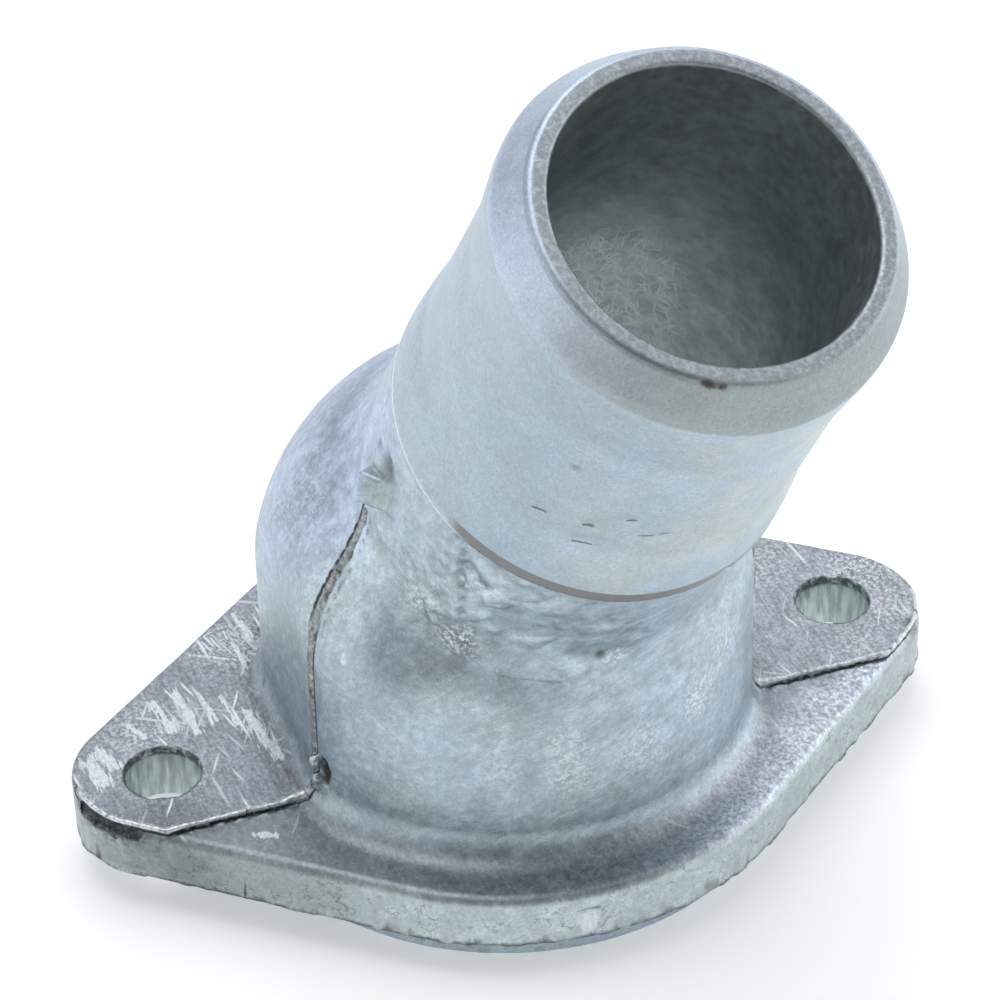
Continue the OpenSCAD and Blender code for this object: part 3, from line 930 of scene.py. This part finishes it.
class CastSkin(Shade):
    """Cast aluminium with its mottling, dull pads, scratches and grime, and with light and shade painted into
    its colour.
    """

    def __init__(self, colours, field):
        super().__init__("cast_aluminium_skin")
        self.colours = colours
        self.field = field
        self.textures()
        self.places()
        tone = self.cast_tone()
        tone = self.mottled(tone)
        tone = self.shaded(tone)
        tone = self.scraped_and_highlit(tone)
        tone = self.machined(tone)
        tone = self.collared(tone)
        tone = self.inside_with_light(tone)
        tone = self.soiled_and_shaded(tone)
        self.finish(tone)

    def paint(self, name):
        return (*getattr(self.colours, name), 1.0)

    def shake(self, value, share):
        """Value with a ragged edge."""
        return self.plus(value, self.swing, share)

    def textures(self):
        """Noises that several finishes share, from clouds down to grain."""
        at = self.at
        self.cloud = self.noise(at, 9.0, 3.0, 0.5, 1.0)
        self.blotch = self.noise(at, 2.8, 4.0, 0.6, 17.0)
        self.mottle = self.noise(at, 1.1, 5.0, 0.62, 2.0)
        self.grain = self.noise(at, 0.24, 3.0, 0.6, 3.0)
        self.flake = self.noise(at, 0.5, 4.0, 0.7, 6.0)
        self.wander = self.noise(at, 0.9, 2.0, 0.6, 7.0)
        self.swing = self.off_middle(self.wander)
        self.bent = self.bend(at, 6.0, 0.7, 12.0)
        self.brushed = self.noise(self.stretch(self.bent, (1.0, 0.12, 0.3)), 0.3, 3.0, 0.6, 4.0)
        self.drilled = self.noise(self.stretch(at, (1.0, 1.0, 0.15)), 0.6, 3.0, 0.6, 10.0)

    def places(self):
        """Masks of the main faces, and places in millimetres along the part and along its neck."""
        field = self.field
        self.top = self.mask("top_face")
        self.wall = self.mask("side_wall")
        self.on_pad = self.mask("pad_face")
        self.tube = self.mask("tube")
        self.within = self.mask("inside")
        self.outside = self.but(self.within)
        self.sideways = self.reach((1.0, 0.0, 0.0))
        self.forward = self.reach((0.0, 1.0, 0.0))
        self.high = self.reach((0.0, 0.0, 1.0))
        self.run = self.reach(field.axis, field.base @ field.axis)
        self.right = self.reach(field.across)
        self.behind = self.reach(field.behind, field.base @ field.behind)
        self.radius = self.length_of(self.right, self.behind)

    def cast_tone(self):
        """Tones of body, flange edge, tube, pads and bead, with painted cool light on the dome and painted
        shade on the flange's edge, the tube's left and the flange's front.
        """
        tone = self.mix(self.band(self.cloud, 0.36, 0.66), self.paint("skin_blue"), self.paint("skin_green"))
        # Painted cool light on the upper dome, away from the tube
        cool_light = self.product(
            self.zone((self.high, 22.0, 34.0), (self.behind, -2.0, 10.0)), self.but(self.tube))
        tone = self.mix(self.product(cool_light, 0.9), tone, self.paint("skin_cool_light"))
        # Painted shade: the flange's edge is lighter in the middle and darker towards its left and right ends
        edging_shaded = self.vary(self.paint("wall"), self.sideways, -38.0, -12.0, 0.89, 1.20)
        edging_shaded = self.vary(edging_shaded, self.sideways, 8.0, 28.0, 1.0, 0.86)
        tone = self.mix(self.product(self.wall, 0.9), tone, edging_shaded)
        tone = self.vary(tone, self.tube, 0.0, 1.0, 1.0, 1.08)
        warm = self.product(
            self.tube, self.band(self.cloud, 0.35, 0.68), self.band(self.behind, -16.0, -2.0, 0.6, 0.0))
        tone = self.mix(warm, tone, self.paint("warm"))
        # Painted shade: the left side of the tube is darker and bluer
        cold_shade = self.product(self.tube, self.band(self.right, -19.0, -8.0, 0.9, 0.0))
        tone = self.mix(cold_shade, tone, self.scale(self.paint("skin_blue"), 0.92))
        tone = self.mix(self.product(self.top, 0.95), tone, self.flange_tone())
        mouth = self.field.neck_length
        cone = self.product(self.outside, self.band(self.shake(self.run, 0.7), mouth - 5.4, mouth - 4.8))
        dull = self.mix(self.fade(self.behind, -15.0, 5.0), self.paint("bead"), self.paint("bead_front"))
        tone = self.mix(self.product(cone, 0.85), tone, dull)
        return self.mix(self.product(self.mask("block"), 0.8), tone, self.paint("block"))

    def flange_tone(self):
        """Level faces of the flange: dull pads, the left pad darker by painted shade, a front darkened by the
        neck's painted shadow, brighter towards its right edge by painted highlight and wear.
        """
        pad, light_side = self.paint("pad"), self.mask("light_side")
        # The front is in the neck's painted shadow, which gives way to the pad tone towards the right side
        front = self.mix(light_side, self.paint("front"), pad)
        # Painted highlight and wear: brighter speckled metal near the outer edge on the right
        shiny = self.product(light_side, self.band(self.mask("side"), -8.0, -2.0))
        front = self.mix(shiny, front, self.vary(pad, self.flake, 0.38, 0.62, 1.2, 2.0))
        # Painted shade: the pads are darker towards the left
        bolted = self.vary(pad, self.sideways, -30.0, 30.0, 0.88, 1.02)
        return self.mix(self.on_pad, front, bolted)

    def mottled(self, tone):
        """Mottling and fine grain, strongest on the level faces, with flow lines on the body."""
        rugged = self.vary(tone, self.mottle, 0.3, 0.7, 0.87, 1.12)
        rugged = self.vary(rugged, self.blotch, 0.3, 0.7, 0.88, 1.10)
        tone = self.mix(self.product(self.tube, 0.6), rugged, tone)
        tone = self.vary(tone, self.grain, 0.3, 0.7, 0.89, 1.10)
        tone = self.vary(tone, self.flake, 0.35, 0.65, 0.95, 1.05)
        level = self.vary(tone, self.flake, 0.35, 0.65, 0.84, 1.18)
        level = self.vary(level, self.brushed, 0.3, 0.7, 0.82, 1.2)
        tone = self.mix(self.product(self.top, self.band(self.on_pad, 0.0, 1.0, 0.5, 1.0)), tone, level)
        drawn = self.flow(self.bend(self.at, 9.0, 3.0, 25.0), (0.0, -0.35, 0.0), 9.0, 0.7, 26.0)
        plain = self.product(self.outside, self.but(self.tube), self.but(self.top), self.but(self.wall))
        tone = self.mix(plain, tone, self.vary(tone, drawn, 0.35, 0.65, 0.92, 1.08))
        crease = self.band(self.math("ABSOLUTE", self.off_middle(drawn)), 0.003, 0.016, 0.28, 0.0)
        crease = self.product(plain, crease, self.band(self.cloud, 0.42, 0.6))
        return self.mix(crease, tone, self.paint("grime_and_shade"))

    def shaded(self, tone):
        """Painted shade in hollows, painted light and shade along the crust's relief, soft patches of painted
        shade, and the veins in the flange's edge.
        """
        # Painted shade: darker in wide hollows
        tone = self.vary(tone, self.mask("hollow_wide"), 0.06, 0.40, 1.0, 0.93)
        # Painted light and shade: lighter on the crust's raised plates, darker in its creases
        tone = self.vary(tone, self.mask("crust"), -0.7, 0.7, 0.92, 1.22)
        # Painted shade in soft patches, broken up by the blotches
        dim = self.product(self.mask("shade"), self.band(self.blotch, 0.3, 0.62, 0.4, 1.0))
        tone = self.vary(tone, dim, 0.0, 1.0, 1.0, 0.5)
        vein = self.math("ABSOLUTE", self.off_middle(self.noise(self.at, 3.2, 4.0, 0.6, 18.0)))
        vein = self.product(self.wall, self.zone((vein, 0.003, 0.018, 0.42, 0.0), (self.blotch, 0.42, 0.58)))
        return self.mix(vein, tone, self.paint("grime_and_shade"))

    def scratches(self):
        """Single scratches, each kind with its turn, width, length and share: many along, a few across."""
        keen = self.mask("scratched")
        many = self.plus(self.product(keen, 0.8), self.on_pad, 0.06)
        few = self.plus(self.product(keen, 0.25), self.on_pad, 0.05)
        kinds = (
            (0.08, 0.9, 14.0, many), (0.24, 0.65, 7.0, many),
            (1.03, 0.9, 20.0, few), (-0.5, 0.6, 8.0, few))
        return self.most(*[
            self.dashes(self.bent, turn, width, run, float(seed), keep)
            for seed, (turn, width, run, keep) in enumerate(kinds, 1)])

    def scraped_and_highlit(self, tone):
        """Bare metal and painted highlights: scratches and broad strokes on the level faces, flecks with
        painted glints, painted highlights on the folds' raised sides, worn edges with painted highlights, and
        the chip.
        """
        fine = self.noise(self.stretch(self.bent, (1.0, 0.07, 0.3)), 0.2, 3.0, 0.6, 27.0)
        broad = self.shake(self.smears(SMEARS), 0.8)
        broad = self.plus(broad, self.off_middle(self.brushed), 2.4)
        broad = self.band(self.plus(broad, self.off_middle(fine), 2.4), 0.25, 0.6)
        broad = self.product(broad, self.band(self.flake, 0.34, 0.58, 0.55, 1.0), 0.95)
        # Bare flecks with painted glints
        flecks = self.product(self.mask("flecks"), self.band(self.flake, 0.49, 0.57), 1.25)
        # Painted highlight on the raised side of the folds
        ridge = self.product(
            self.mask("fold_light"), self.zone((self.flake, 0.46, 0.62, 0.0, 0.7), (self.blotch, 0.42, 0.58)))
        chip = self.band(self.shake(self.mask("chip"), 0.8), 0.45, 0.6)
        chip = self.product(chip, self.band(self.drilled, 0.36, 0.60, 0.5, 1.0))
        mouth = self.field.neck_length
        # Wear and painted highlight on convex edges, weaker near the mouth
        worn_and_highlit = self.product(
            self.mask("edge"), self.band(self.flake, 0.4, 0.65, 0.0, 0.7),
            self.band(self.run, mouth - 1.5, mouth - 1.0, 1.0, 0.3))
        bare_and_highlit = self.most(self.product(self.top, self.scratches()), broad, flecks, ridge, chip, worn_and_highlit)
        self.bare_and_highlit = self.product(bare_and_highlit, self.band(self.grain, 0.3, 0.6, 0.7, 1.0), self.outside)
        return self.mix(self.bare_and_highlit, tone, self.paint("bright"))

    def machined(self, tone):
        """Drilled holes and the cut rim, with painted shade on the left of its outer edge."""
        bored = self.vary(self.paint("hole"), self.drilled, 0.35, 0.65, 0.7, 1.2)
        tone = self.mix(self.product(self.mask("hole_wall"), 0.9), tone, bored)
        mouth, rim = self.field.neck_length, self.field.rim_radius
        ring = self.shake(self.radius, 0.3)
        cut = self.vary(self.paint("rim"), self.flake, 0.40, 0.70, 0.80, 1.30)
        face = self.product(
            self.band(self.run, mouth - 0.4, mouth - 0.25), self.fade(ring, rim - 0.4, rim - 0.28))
        tone = self.mix(face, tone, cut)
        # Painted shade: the left of the rim's outer edge is darker
        outer = self.product(
            self.outside, self.zone((self.run, mouth - 0.7, mouth - 0.5), (ring, rim - 0.45, rim - 0.3)),
            self.fade(self.right, -13.0, -7.0))
        return self.vary(tone, outer, 0.0, 1.0, 1.0, 0.8)

    def collared(self, tone):
        """Lower edge of the collar: a band of painted shadow with grime in front, a painted highlight on the
        lip at the side and behind.
        """
        collar, root = self.field.collar_place, self.field.root_front
        proud = self.band(self.radius, root + 0.1, root + 0.3)
        # Painted shadow and grime in a band below the collar's front edge
        hem_shadow = self.product(
            self.band(self.run, collar - 0.2, collar), self.fade(self.behind, -6.5, -4.0), proud,
            self.fade(self.run, collar + 1.7, collar + 1.9), self.band(self.right, -4.0, 9.0, 0.9, 0.3))
        tone = self.mix(hem_shadow, tone, self.paint("band"))
        # Painted highlight on the collar's lip at the side and behind
        lip = self.product(
            self.band(self.run, collar - 0.1, collar), self.fade(self.run, collar + 0.4, collar + 0.5),
            self.band(self.behind, -8.0, -5.0), proud, 0.85)
        return self.mix(lip, tone, self.paint("bright"))

    def inside_with_light(self, tone):
        """Darker inside, paler towards the body by painted light, with painted light drawn as fine bright
        hairs.
        """
        # Painted light: paler deeper in, where light falls on the far inner wall
        lit_deep = self.band(self.mask("depth"), 15.0, 39.0, 1.08, 2.4)
        stain = self.scale(self.paint("inside"), lit_deep)
        stain = self.vary(stain, self.mottle, 0.3, 0.7, 0.82, 1.16)
        stain = self.vary(stain, self.blotch, 0.3, 0.7, 0.82, 1.18)
        tone = self.mix(self.within, tone, stain)
        opened = self.node("ShaderNodeCombineXYZ", {
            0: self.product(self.right, MM), 1: self.product(self.run, 0.45 * MM)}).outputs[0]
        curled = self.bend(opened, 0.9, 0.9, 19.0)
        # Painted light on the lit inner wall, drawn as bright hairs
        hair = self.most(*[self.dashes(curled, turn, 0.30, 3.2, 20.0 + turn, 0.8) for turn in HAIR_TURNS])
        hair = self.product(self.within, self.mask("hairs"), hair, 1.6)
        return self.mix(hair, tone, self.scale(self.paint("warm"), 1.7))

    def seam_line(self):
        """Dark line of the seam, painted shadow with grime: in front of the flash low down, behind it and
        fainter in front higher up.
        """
        upper = self.mask("seam_high")
        across = self.shake(self.mask("seam_across"), 0.45)
        low = self.product(self.band(across, 0.42, 0.52), self.fade(across, 0.72, 0.90))
        high = self.product(self.band(across, -0.98, -0.80), self.fade(across, -0.52, -0.42))
        faint = self.zone((across, 0.95, 1.15), (across, 1.25, 1.7, 0.45, 0.0), (self.wander, 0.4, 0.6))
        above = self.product(self.most(high, faint), upper)
        line = self.math("ADD", self.product(low, self.but(upper)), above)
        return self.product(line, self.band(self.wander, 0.3, 0.5, 0.5, 0.95))

    def hole_burr(self):
        """Dark rough upper edge of the bolt holes: painted shadow with grime."""
        away = self.math("SUBTRACT", self.math("ABSOLUTE", self.sideways), self.field.bolt_spacing / 2.0)
        edge = self.shake(self.length_of(away, self.forward), 0.5)
        edge = self.math("SUBTRACT", edge, self.field.hole_radius)
        burr = self.product(self.band(edge, -0.45, -0.2), self.fade(edge, 0.05, 0.3))
        return self.product(burr, self.zone((self.high, 5.6, 6.2), (self.wander, 0.35, 0.55, 0.15, 0.8)))

    def soiled_and_shaded(self, tone):
        """Grime with painted shadow beside the seam's flash, in the torn gap, under the lower edge's burr, in
        the folds' creases, at the holes' upper edges and in pits; dark nicks; and the rusty spot.
        """
        # Grime and painted shade in pits
        pits = self.product(self.mask("stain"), self.band(self.flake, 0.3, 0.5, 0.7, 1.0))
        # Painted shadow under the lower edge's burr, with grime
        low = self.product(self.mask("low_edge"), self.band(self.blotch, 0.36, 0.56, 0.1, 0.85))
        # Painted shadow with grime in the torn gap
        torn = self.product(self.mask("tear"), self.band(self.flake, 0.36, 0.66, 1.0, 0.72))
        # Painted shade in the folds' creases
        fold = self.product(self.mask("fold_dark"), self.band(self.wander, 0.38, 0.62, 0.04, 0.42))
        nicks = self.band(self.shake(self.smears(NICKS), 1.2), 0.0, 0.6, 0.0, 0.62)
        self.dirt_and_shade = self.most(self.seam_line(), pits, low, torn, fold, nicks, self.hole_burr())
        tone = self.mix(self.product(self.dirt_and_shade, 0.93), tone, self.paint("grime_and_shade"))
        rusty = self.band(self.shake(self.smear(*RUST), 1.6), 0.0, 0.8, 0.0, 0.9)
        return self.mix(self.product(rusty, self.outside), tone, self.paint("rust"))

    def finish(self, tone):
        """Gloss and fine relief of the skin."""
        rough = self.plus(self.band(self.mottle, 0.25, 0.75, 0.38, 0.54), self.dirt_and_shade, 0.3)
        height = self.plus(self.product(self.mottle, 0.7), self.grain, 0.25)
        height = self.plus(height, self.bare_and_highlit, 0.08)
        height = self.plus(height, self.dirt_and_shade, -0.5)
        self.surface({
            "Base Color": tone, "Metallic": 0.85, "Roughness": rough, "Normal": self.bump(height, 0.5, 0.12)})


def flash_skin(colours):
    """Torn and trimmed edge of the casting: pale on the pads, grey and speckled up the body."""
    sh = Shade("trimmed_flash")
    grey, bright, grime_and_shade = [(*tone, 1.0) for tone in (colours.flash, colours.bright, colours.grime_and_shade)]
    flake = sh.noise(sh.at, 0.6, 4.0, 0.7, 11.0)
    tone = sh.vary(grey, flake, 0.36, 0.64, 0.65, 1.4)
    tone = sh.mix(sh.band(flake, 0.60, 0.72, 0.0, 0.45), tone, bright)
    pale = sh.vary(bright, flake, 0.36, 0.60, 0.55, 1.0)
    tone = sh.mix(sh.band(sh.reach((0.0, 0.0, 1.0)), 7.5, 8.5), pale, tone)
    tone = sh.mix(sh.band(flake, 0.33, 0.41, 0.75, 0.0), tone, grime_and_shade)
    sh.surface({
        "Base Color": tone, "Metallic": 0.8, "Roughness": sh.band(flake, 0.3, 0.7, 0.55, 0.35),
        "Normal": sh.bump(flake, 0.6, 0.08)})
    return sh.mat


# Inputs of the flash's Geometry Nodes, and its depth in the skin and radius on the pads and up the body
FLASH_INPUTS = {"Spacing": 0.2 * MM, "Ragged": 0.35 * MM, "Grain": 1.6 * MM, "Seed": 3.0}
FLASH_SINK = (0.10, 0.44)
FLASH_RADIUS = (0.26, 0.70)


def flash_tree(material):
    """Geometry Nodes: a ragged bead of metal along a path, its thickness read from the path."""
    tree = bpy.data.node_groups.new("trimmed_flash", "GeometryNodeTree")
    face = tree.interface
    face.new_socket("Geometry", in_out="INPUT", socket_type="NodeSocketGeometry")
    for name in FLASH_INPUTS:
        face.new_socket(name, in_out="INPUT", socket_type="NodeSocketFloat")
    face.new_socket("Geometry", in_out="OUTPUT", socket_type="NodeSocketGeometry")

    def add(kind, inputs=None, **settings):
        return add_node(tree, kind, inputs, **settings).outputs

    given = add("NodeGroupInput")
    curve = add("GeometryNodeMeshToCurve", {0: given["Geometry"]})[0]
    spaced = add("GeometryNodeResampleCurve", {"Curve": curve, "Length": given["Spacing"]}, mode="LENGTH")[0]
    pitch = add("ShaderNodeMath", {0: 1.0, 1: given["Grain"]}, operation="DIVIDE")[0]
    rough = add(
        "ShaderNodeTexNoise", {"Scale": pitch, "W": given["Seed"], "Detail": 3.0}, noise_dimensions="4D")
    about = add("ShaderNodeVectorMath", {0: rough["Color"], 1: (0.5, 0.5, 0.5)}, operation="SUBTRACT")[0]
    push = add("ShaderNodeVectorMath", {0: about, "Scale": given["Ragged"]}, operation="SCALE")[0]
    moved = add("GeometryNodeSetPosition", {"Geometry": spaced, "Offset": push})[0]
    swell = add("ShaderNodeMapRange", {
        "Value": rough[0], "From Min": 0.3, "From Max": 0.7, "To Min": 0.78, "To Max": 1.22})[0]
    thick = add("GeometryNodeInputNamedAttribute", {"Name": "thick"}, data_type="FLOAT")[0]
    girth = add("ShaderNodeMath", {0: swell, 1: thick}, operation="MULTIPLY")[0]
    sized = add("GeometryNodeSetCurveRadius", {"Curve": moved, "Radius": girth})[0]
    ring = add("GeometryNodeCurvePrimitiveCircle", {"Resolution": 10, "Radius": 1.0})["Curve"]
    skin = add("GeometryNodeCurveToMesh", {"Curve": sized, "Profile Curve": ring, "Fill Caps": True})[0]
    if "Scale" in skin.node.inputs:
        tree.links.new(girth, skin.node.inputs["Scale"])
    whole = add("GeometryNodeRealizeInstances", {0: skin})[0]
    coat = add("GeometryNodeSetMaterial", {"Geometry": whole, "Material": material})[0]
    add("NodeGroupOutput", {0: coat})
    return tree


# Operators

# Corners of the first grid in millimetres, and the points handled at a time where slopes are needed
GRID_LOW = (-51.0, -54.0, -6.0)
GRID_HIGH = (51.0, 36.0, 100.5)
SLOPE_PART = 150000


def put(context, name, data):
    """A new object in the scene that shows some data."""
    made = bpy.data.objects.new(name, data)
    context.scene.collection.objects.link(made)
    return made


def mend(mesh, rounds=4):
    """Cuts out the few faces round an edge that isn't shared by two, and closes the gap."""
    work = bmesh.new()
    work.from_mesh(mesh)
    for _ in range(rounds):
        bad = {f for e in work.edges if len(e.link_faces) != 2 for f in e.link_faces}
        if not bad:
            break
        near = {f for b in bad for v in b.verts for f in v.link_faces}
        bmesh.ops.delete(work, geom=list(near), context="FACES")
        open_edges = [e for e in work.edges if len(e.link_faces) == 1]
        bmesh.ops.holes_fill(work, edges=open_edges, sides=0)
        bmesh.ops.triangulate(work, faces=[f for f in work.faces if len(f.verts) > 3])
    work.to_mesh(mesh)
    work.free()


class HOUSING_OT_casting(bpy.types.Operator):
    """Make the whole casting as one closed mesh"""

    bl_idname = "housing.casting"
    bl_label = "Casting"

    def execute(self, context):
        sizes = context.scene.housing_sizes
        field = CastingField(sizes)
        places, quads = net(field, GRID_LOW, GRID_HIGH, field.grid)
        places = in_parts(lambda p: field.settle(p, 1, 0.15), places, SLOPE_PART)
        mesh = bpy.data.meshes.new("casting")
        mesh.from_pydata(places * MM, [], quads.tolist())
        mesh.validate()
        piece = put(context, "casting", mesh)
        thin = piece.modifiers.new("thin", "DECIMATE")
        thin.ratio = min(1.0, sizes.faces / (2.0 * len(quads)))
        ready = bpy.data.meshes.new_from_object(piece.evaluated_get(context.evaluated_depsgraph_get()))
        piece.modifiers.remove(thin)
        piece.data = ready
        bpy.data.meshes.remove(mesh)
        mend(ready)
        self.finish_skin(field, ready)
        ready.name = "casting"
        ready.materials.clear()
        ready.materials.append(CastSkin(context.scene.housing_colours, field).mat)
        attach(piece, "root")
        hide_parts("outlet_housing")
        return {"FINISHED"}

    def finish_skin(self, field, mesh):
        """Settles the thinned mesh on the field and gives it the field's normals."""
        flat = np.empty(len(mesh.vertices) * 3)
        mesh.vertices.foreach_get("co", flat)
        p = in_parts(lambda q: field.settle(q, 1, 0.1), flat.reshape(-1, 3) / MM, SLOPE_PART)
        g = in_parts(lambda q: field.slope(q, 0.12), p, SLOPE_PART)
        g /= np.maximum(np.linalg.norm(g, axis=1), 1e-6)[:, None]
        mesh.vertices.foreach_set("co", (p * MM).ravel())
        mesh.polygons.foreach_set("use_smooth", np.ones(len(mesh.polygons), bool))
        mesh.update()
        for name, values in skin_masks(field, p, g).items():
            layer = mesh.attributes.new(name, "FLOAT", "POINT")
            layer.data.foreach_set("value", values.astype(np.float32))
        mesh.normals_split_custom_set_from_vertices(g.tolist())


class HOUSING_OT_flash(bpy.types.Operator):
    """Run a ragged bead of trimmed flash along the die parting line"""

    bl_idname = "housing.flash"
    bl_label = "Trimmed flash"

    def execute(self, context):
        field = CastingField(context.scene.housing_sizes)
        points, edges, thick = [], [], []
        for sign in (-1.0, 1.0):
            path = field.seam_path(sign)
            slope = field.slope(path, 0.3)
            slope /= np.linalg.norm(slope, axis=1)[:, None]
            on_pad = np.arange(len(path)) < field.EAR_POINTS + field.PAD_POINTS
            path = path - slope * np.where(on_pad, *FLASH_SINK)[:, None]
            first = len(points)
            points += (path * MM).tolist()
            edges += [(first + k, first + k + 1) for k in range(len(path) - 1)]
            thick += (np.where(on_pad, *FLASH_RADIUS) * MM).tolist()
        mesh = bpy.data.meshes.new("parting_flash")
        mesh.from_pydata(points, edges, [])
        layer = mesh.attributes.new("thick", "FLOAT", "POINT")
        layer.data.foreach_set("value", thick)
        piece = put(context, "parting_flash", mesh)
        material = flash_skin(context.scene.housing_colours)
        bead = piece.modifiers.new("bead", "NODES")
        bead.node_group = flash_tree(material)
        for socket in bead.node_group.interface.items_tree:
            if socket.in_out == "INPUT" and socket.name in FLASH_INPUTS:
                bead[socket.identifier] = FLASH_INPUTS[socket.name]
        ready = bpy.data.meshes.new_from_object(piece.evaluated_get(context.evaluated_depsgraph_get()))
        if not ready.polygons:
            raise RuntimeError("the trimmed flash came out empty")
        piece.modifiers.remove(bead)
        piece.data = ready
        bpy.data.meshes.remove(mesh)
        ready.polygons.foreach_set("use_smooth", np.ones(len(ready.polygons), bool))
        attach(piece, "root")
        return {"FINISHED"}


class HOUSING_OT_stage(bpy.types.Operator):
    """Make the floor, the light and the camera"""

    bl_idname = "housing.stage"
    bl_label = "Stage"

    def execute(self, context):
        stage = context.scene.housing_stage
        self.floor(context, stage)
        self.world(context)
        self.lamps(context, stage)
        self.camera(context, stage)
        context.scene.view_settings.view_transform = "Standard"
        return {"FINISHED"}

    def floor(self, context, stage):
        """Plain pale floor under the spigot, a little brighter where it is seen."""
        radius, sides, glow = 3.0, 64, 0.35
        low = CAD_BOX[0][2]
        turns = np.linspace(0.0, 2.0 * math.pi, sides, endpoint=False)
        mesh = bpy.data.meshes.new("floor")
        corners = [(radius * math.cos(a), radius * math.sin(a), low) for a in turns]
        mesh.from_pydata(corners, [], [list(range(sides))])
        sh = Shade("floor_white")
        rays = sh.node("ShaderNodeLightPath").outputs
        seen = sh.most(rays["Is Camera Ray"], rays["Is Glossy Ray"], rays["Is Transmission Ray"])
        sh.surface({
            "Base Color": (*stage.floor, 1.0), "Roughness": 1.0, "Specular IOR Level": 0.0,
            "Emission Color": (1.0, 1.0, 1.0, 1.0), "Emission Strength": sh.product(seen, glow)})
        mesh.materials.append(sh.mat)
        floor = put(context, "floor", mesh)

    def world(self, context):
        """Soft world light, paler low down and dimmer behind the camera."""
        world = bpy.data.worlds.new("studio")
        context.scene.world = world
        world.use_nodes = True
        tree = world.node_tree
        place = add_node(tree, "ShaderNodeTexCoord").outputs["Generated"]
        height = add_node(tree, "ShaderNodeSeparateXYZ", {0: place}).outputs["Z"]
        ramp = add_node(tree, "ShaderNodeValToRGB", {0: height})
        low, high = ramp.color_ramp.elements
        low.position = 0.04
        low.color = (0.95, 0.95, 0.95, 1.0)
        high.position = 0.32
        high.color = (0.38, 0.38, 0.39, 1.0)
        behind_camera = (-0.27, -0.743, 0.612)
        facing = add_node(tree, "ShaderNodeVectorMath", {0: place, 1: behind_camera}, operation="DOT_PRODUCT")
        dim = add_node(tree, "ShaderNodeMapRange", {
            "Value": facing.outputs["Value"],
            "From Min": 0.62, "From Max": 0.96, "To Min": 1.0, "To Max": 0.35,
        }, interpolation_type="SMOOTHSTEP")
        back = tree.nodes["Background"]
        tree.links.new(ramp.outputs[0], back.inputs["Color"])
        tree.links.new(dim.outputs[0], back.inputs["Strength"])

    def lamps(self, context, stage):
        """Four large lamps that look at the middle of the part: name, place and size in metres, power."""
        middle = Vector((0.0, 0.0, 0.035))
        for name, place, size, power in (
            ("top", (-0.05, 0.10, 0.75), 0.6, stage.top_power),
            ("left", (-0.80, 0.10, 0.35), 0.9, stage.side_power * 0.55),
            ("right", (0.80, -0.10, 0.35), 0.9, stage.side_power * 1.27),
            ("back", (0.30, 0.75, 0.60), 0.8, stage.side_power * 0.5),
        ):
            lamp = bpy.data.lights.new(name, "AREA")
            lamp.size = size
            lamp.energy = power
            spot = Vector(place)
            turn = (middle - spot).to_track_quat("-Z", "Y")
            put(context, name, lamp).matrix_world = Matrix.Translation(spot) @ turn.to_matrix().to_4x4()

    def camera(self, context, stage):
        """Camera at the photograph's viewing angle."""
        az, el, roll = stage.azimuth, stage.elevation, stage.roll
        back = Vector((math.sin(az) * math.cos(el), -math.cos(az) * math.cos(el), math.sin(el)))
        right = Vector((math.cos(az), math.sin(az), 0.0))
        up = back.cross(right)
        turned = math.cos(roll) * right + math.sin(roll) * up
        upright = -math.sin(roll) * right + math.cos(roll) * up
        spot = Vector(stage.target) + back * stage.distance
        data = bpy.data.cameras.new("view")
        data.lens = stage.lens
        data.sensor_width = 36.0
        data.clip_start = 0.01
        camera = put(context, "view", data)
        turn = Matrix((turned, upright, back)).transposed().to_4x4()
        camera.matrix_world = Matrix.Translation(spot) @ turn
        context.scene.camera = camera


class HOUSING_PT_panel(bpy.types.Panel):
    """Lists the operators of the housing"""

    bl_idname = "HOUSING_PT_panel"
    bl_label = "Coolant outlet housing"
    bl_space_type = "VIEW_3D"
    bl_region_type = "UI"
    bl_category = "Housing"

    def draw(self, context):
        for operator in OPERATORS:
            self.layout.operator(operator.bl_idname)
        for group in ("housing_sizes", "housing_colours", "housing_stage"):
            box = self.layout.box()
            settings = getattr(context.scene, group)
            for key in type(settings).__annotations__:
                box.prop(settings, key)


OPERATORS = (HOUSING_OT_casting, HOUSING_OT_flash, HOUSING_OT_stage)
CLASSES = (HousingSizes, HousingColours, StageSettings, *OPERATORS, HOUSING_PT_panel)


def register():
    for cls in CLASSES:
        bpy.utils.register_class(cls)
    bpy.types.Scene.housing_sizes = bpy.props.PointerProperty(type=HousingSizes)
    bpy.types.Scene.housing_colours = bpy.props.PointerProperty(type=HousingColours)
    bpy.types.Scene.housing_stage = bpy.props.PointerProperty(type=StageSettings)


def unregister():
    del bpy.types.Scene.housing_stage
    del bpy.types.Scene.housing_colours
    del bpy.types.Scene.housing_sizes
    for cls in reversed(CLASSES):
        bpy.utils.unregister_class(cls)


def main():
    register()
    bpy.ops.housing.casting()
    bpy.ops.housing.flash()
    bpy.ops.housing.stage()


if __name__ == "__main__":
    main()
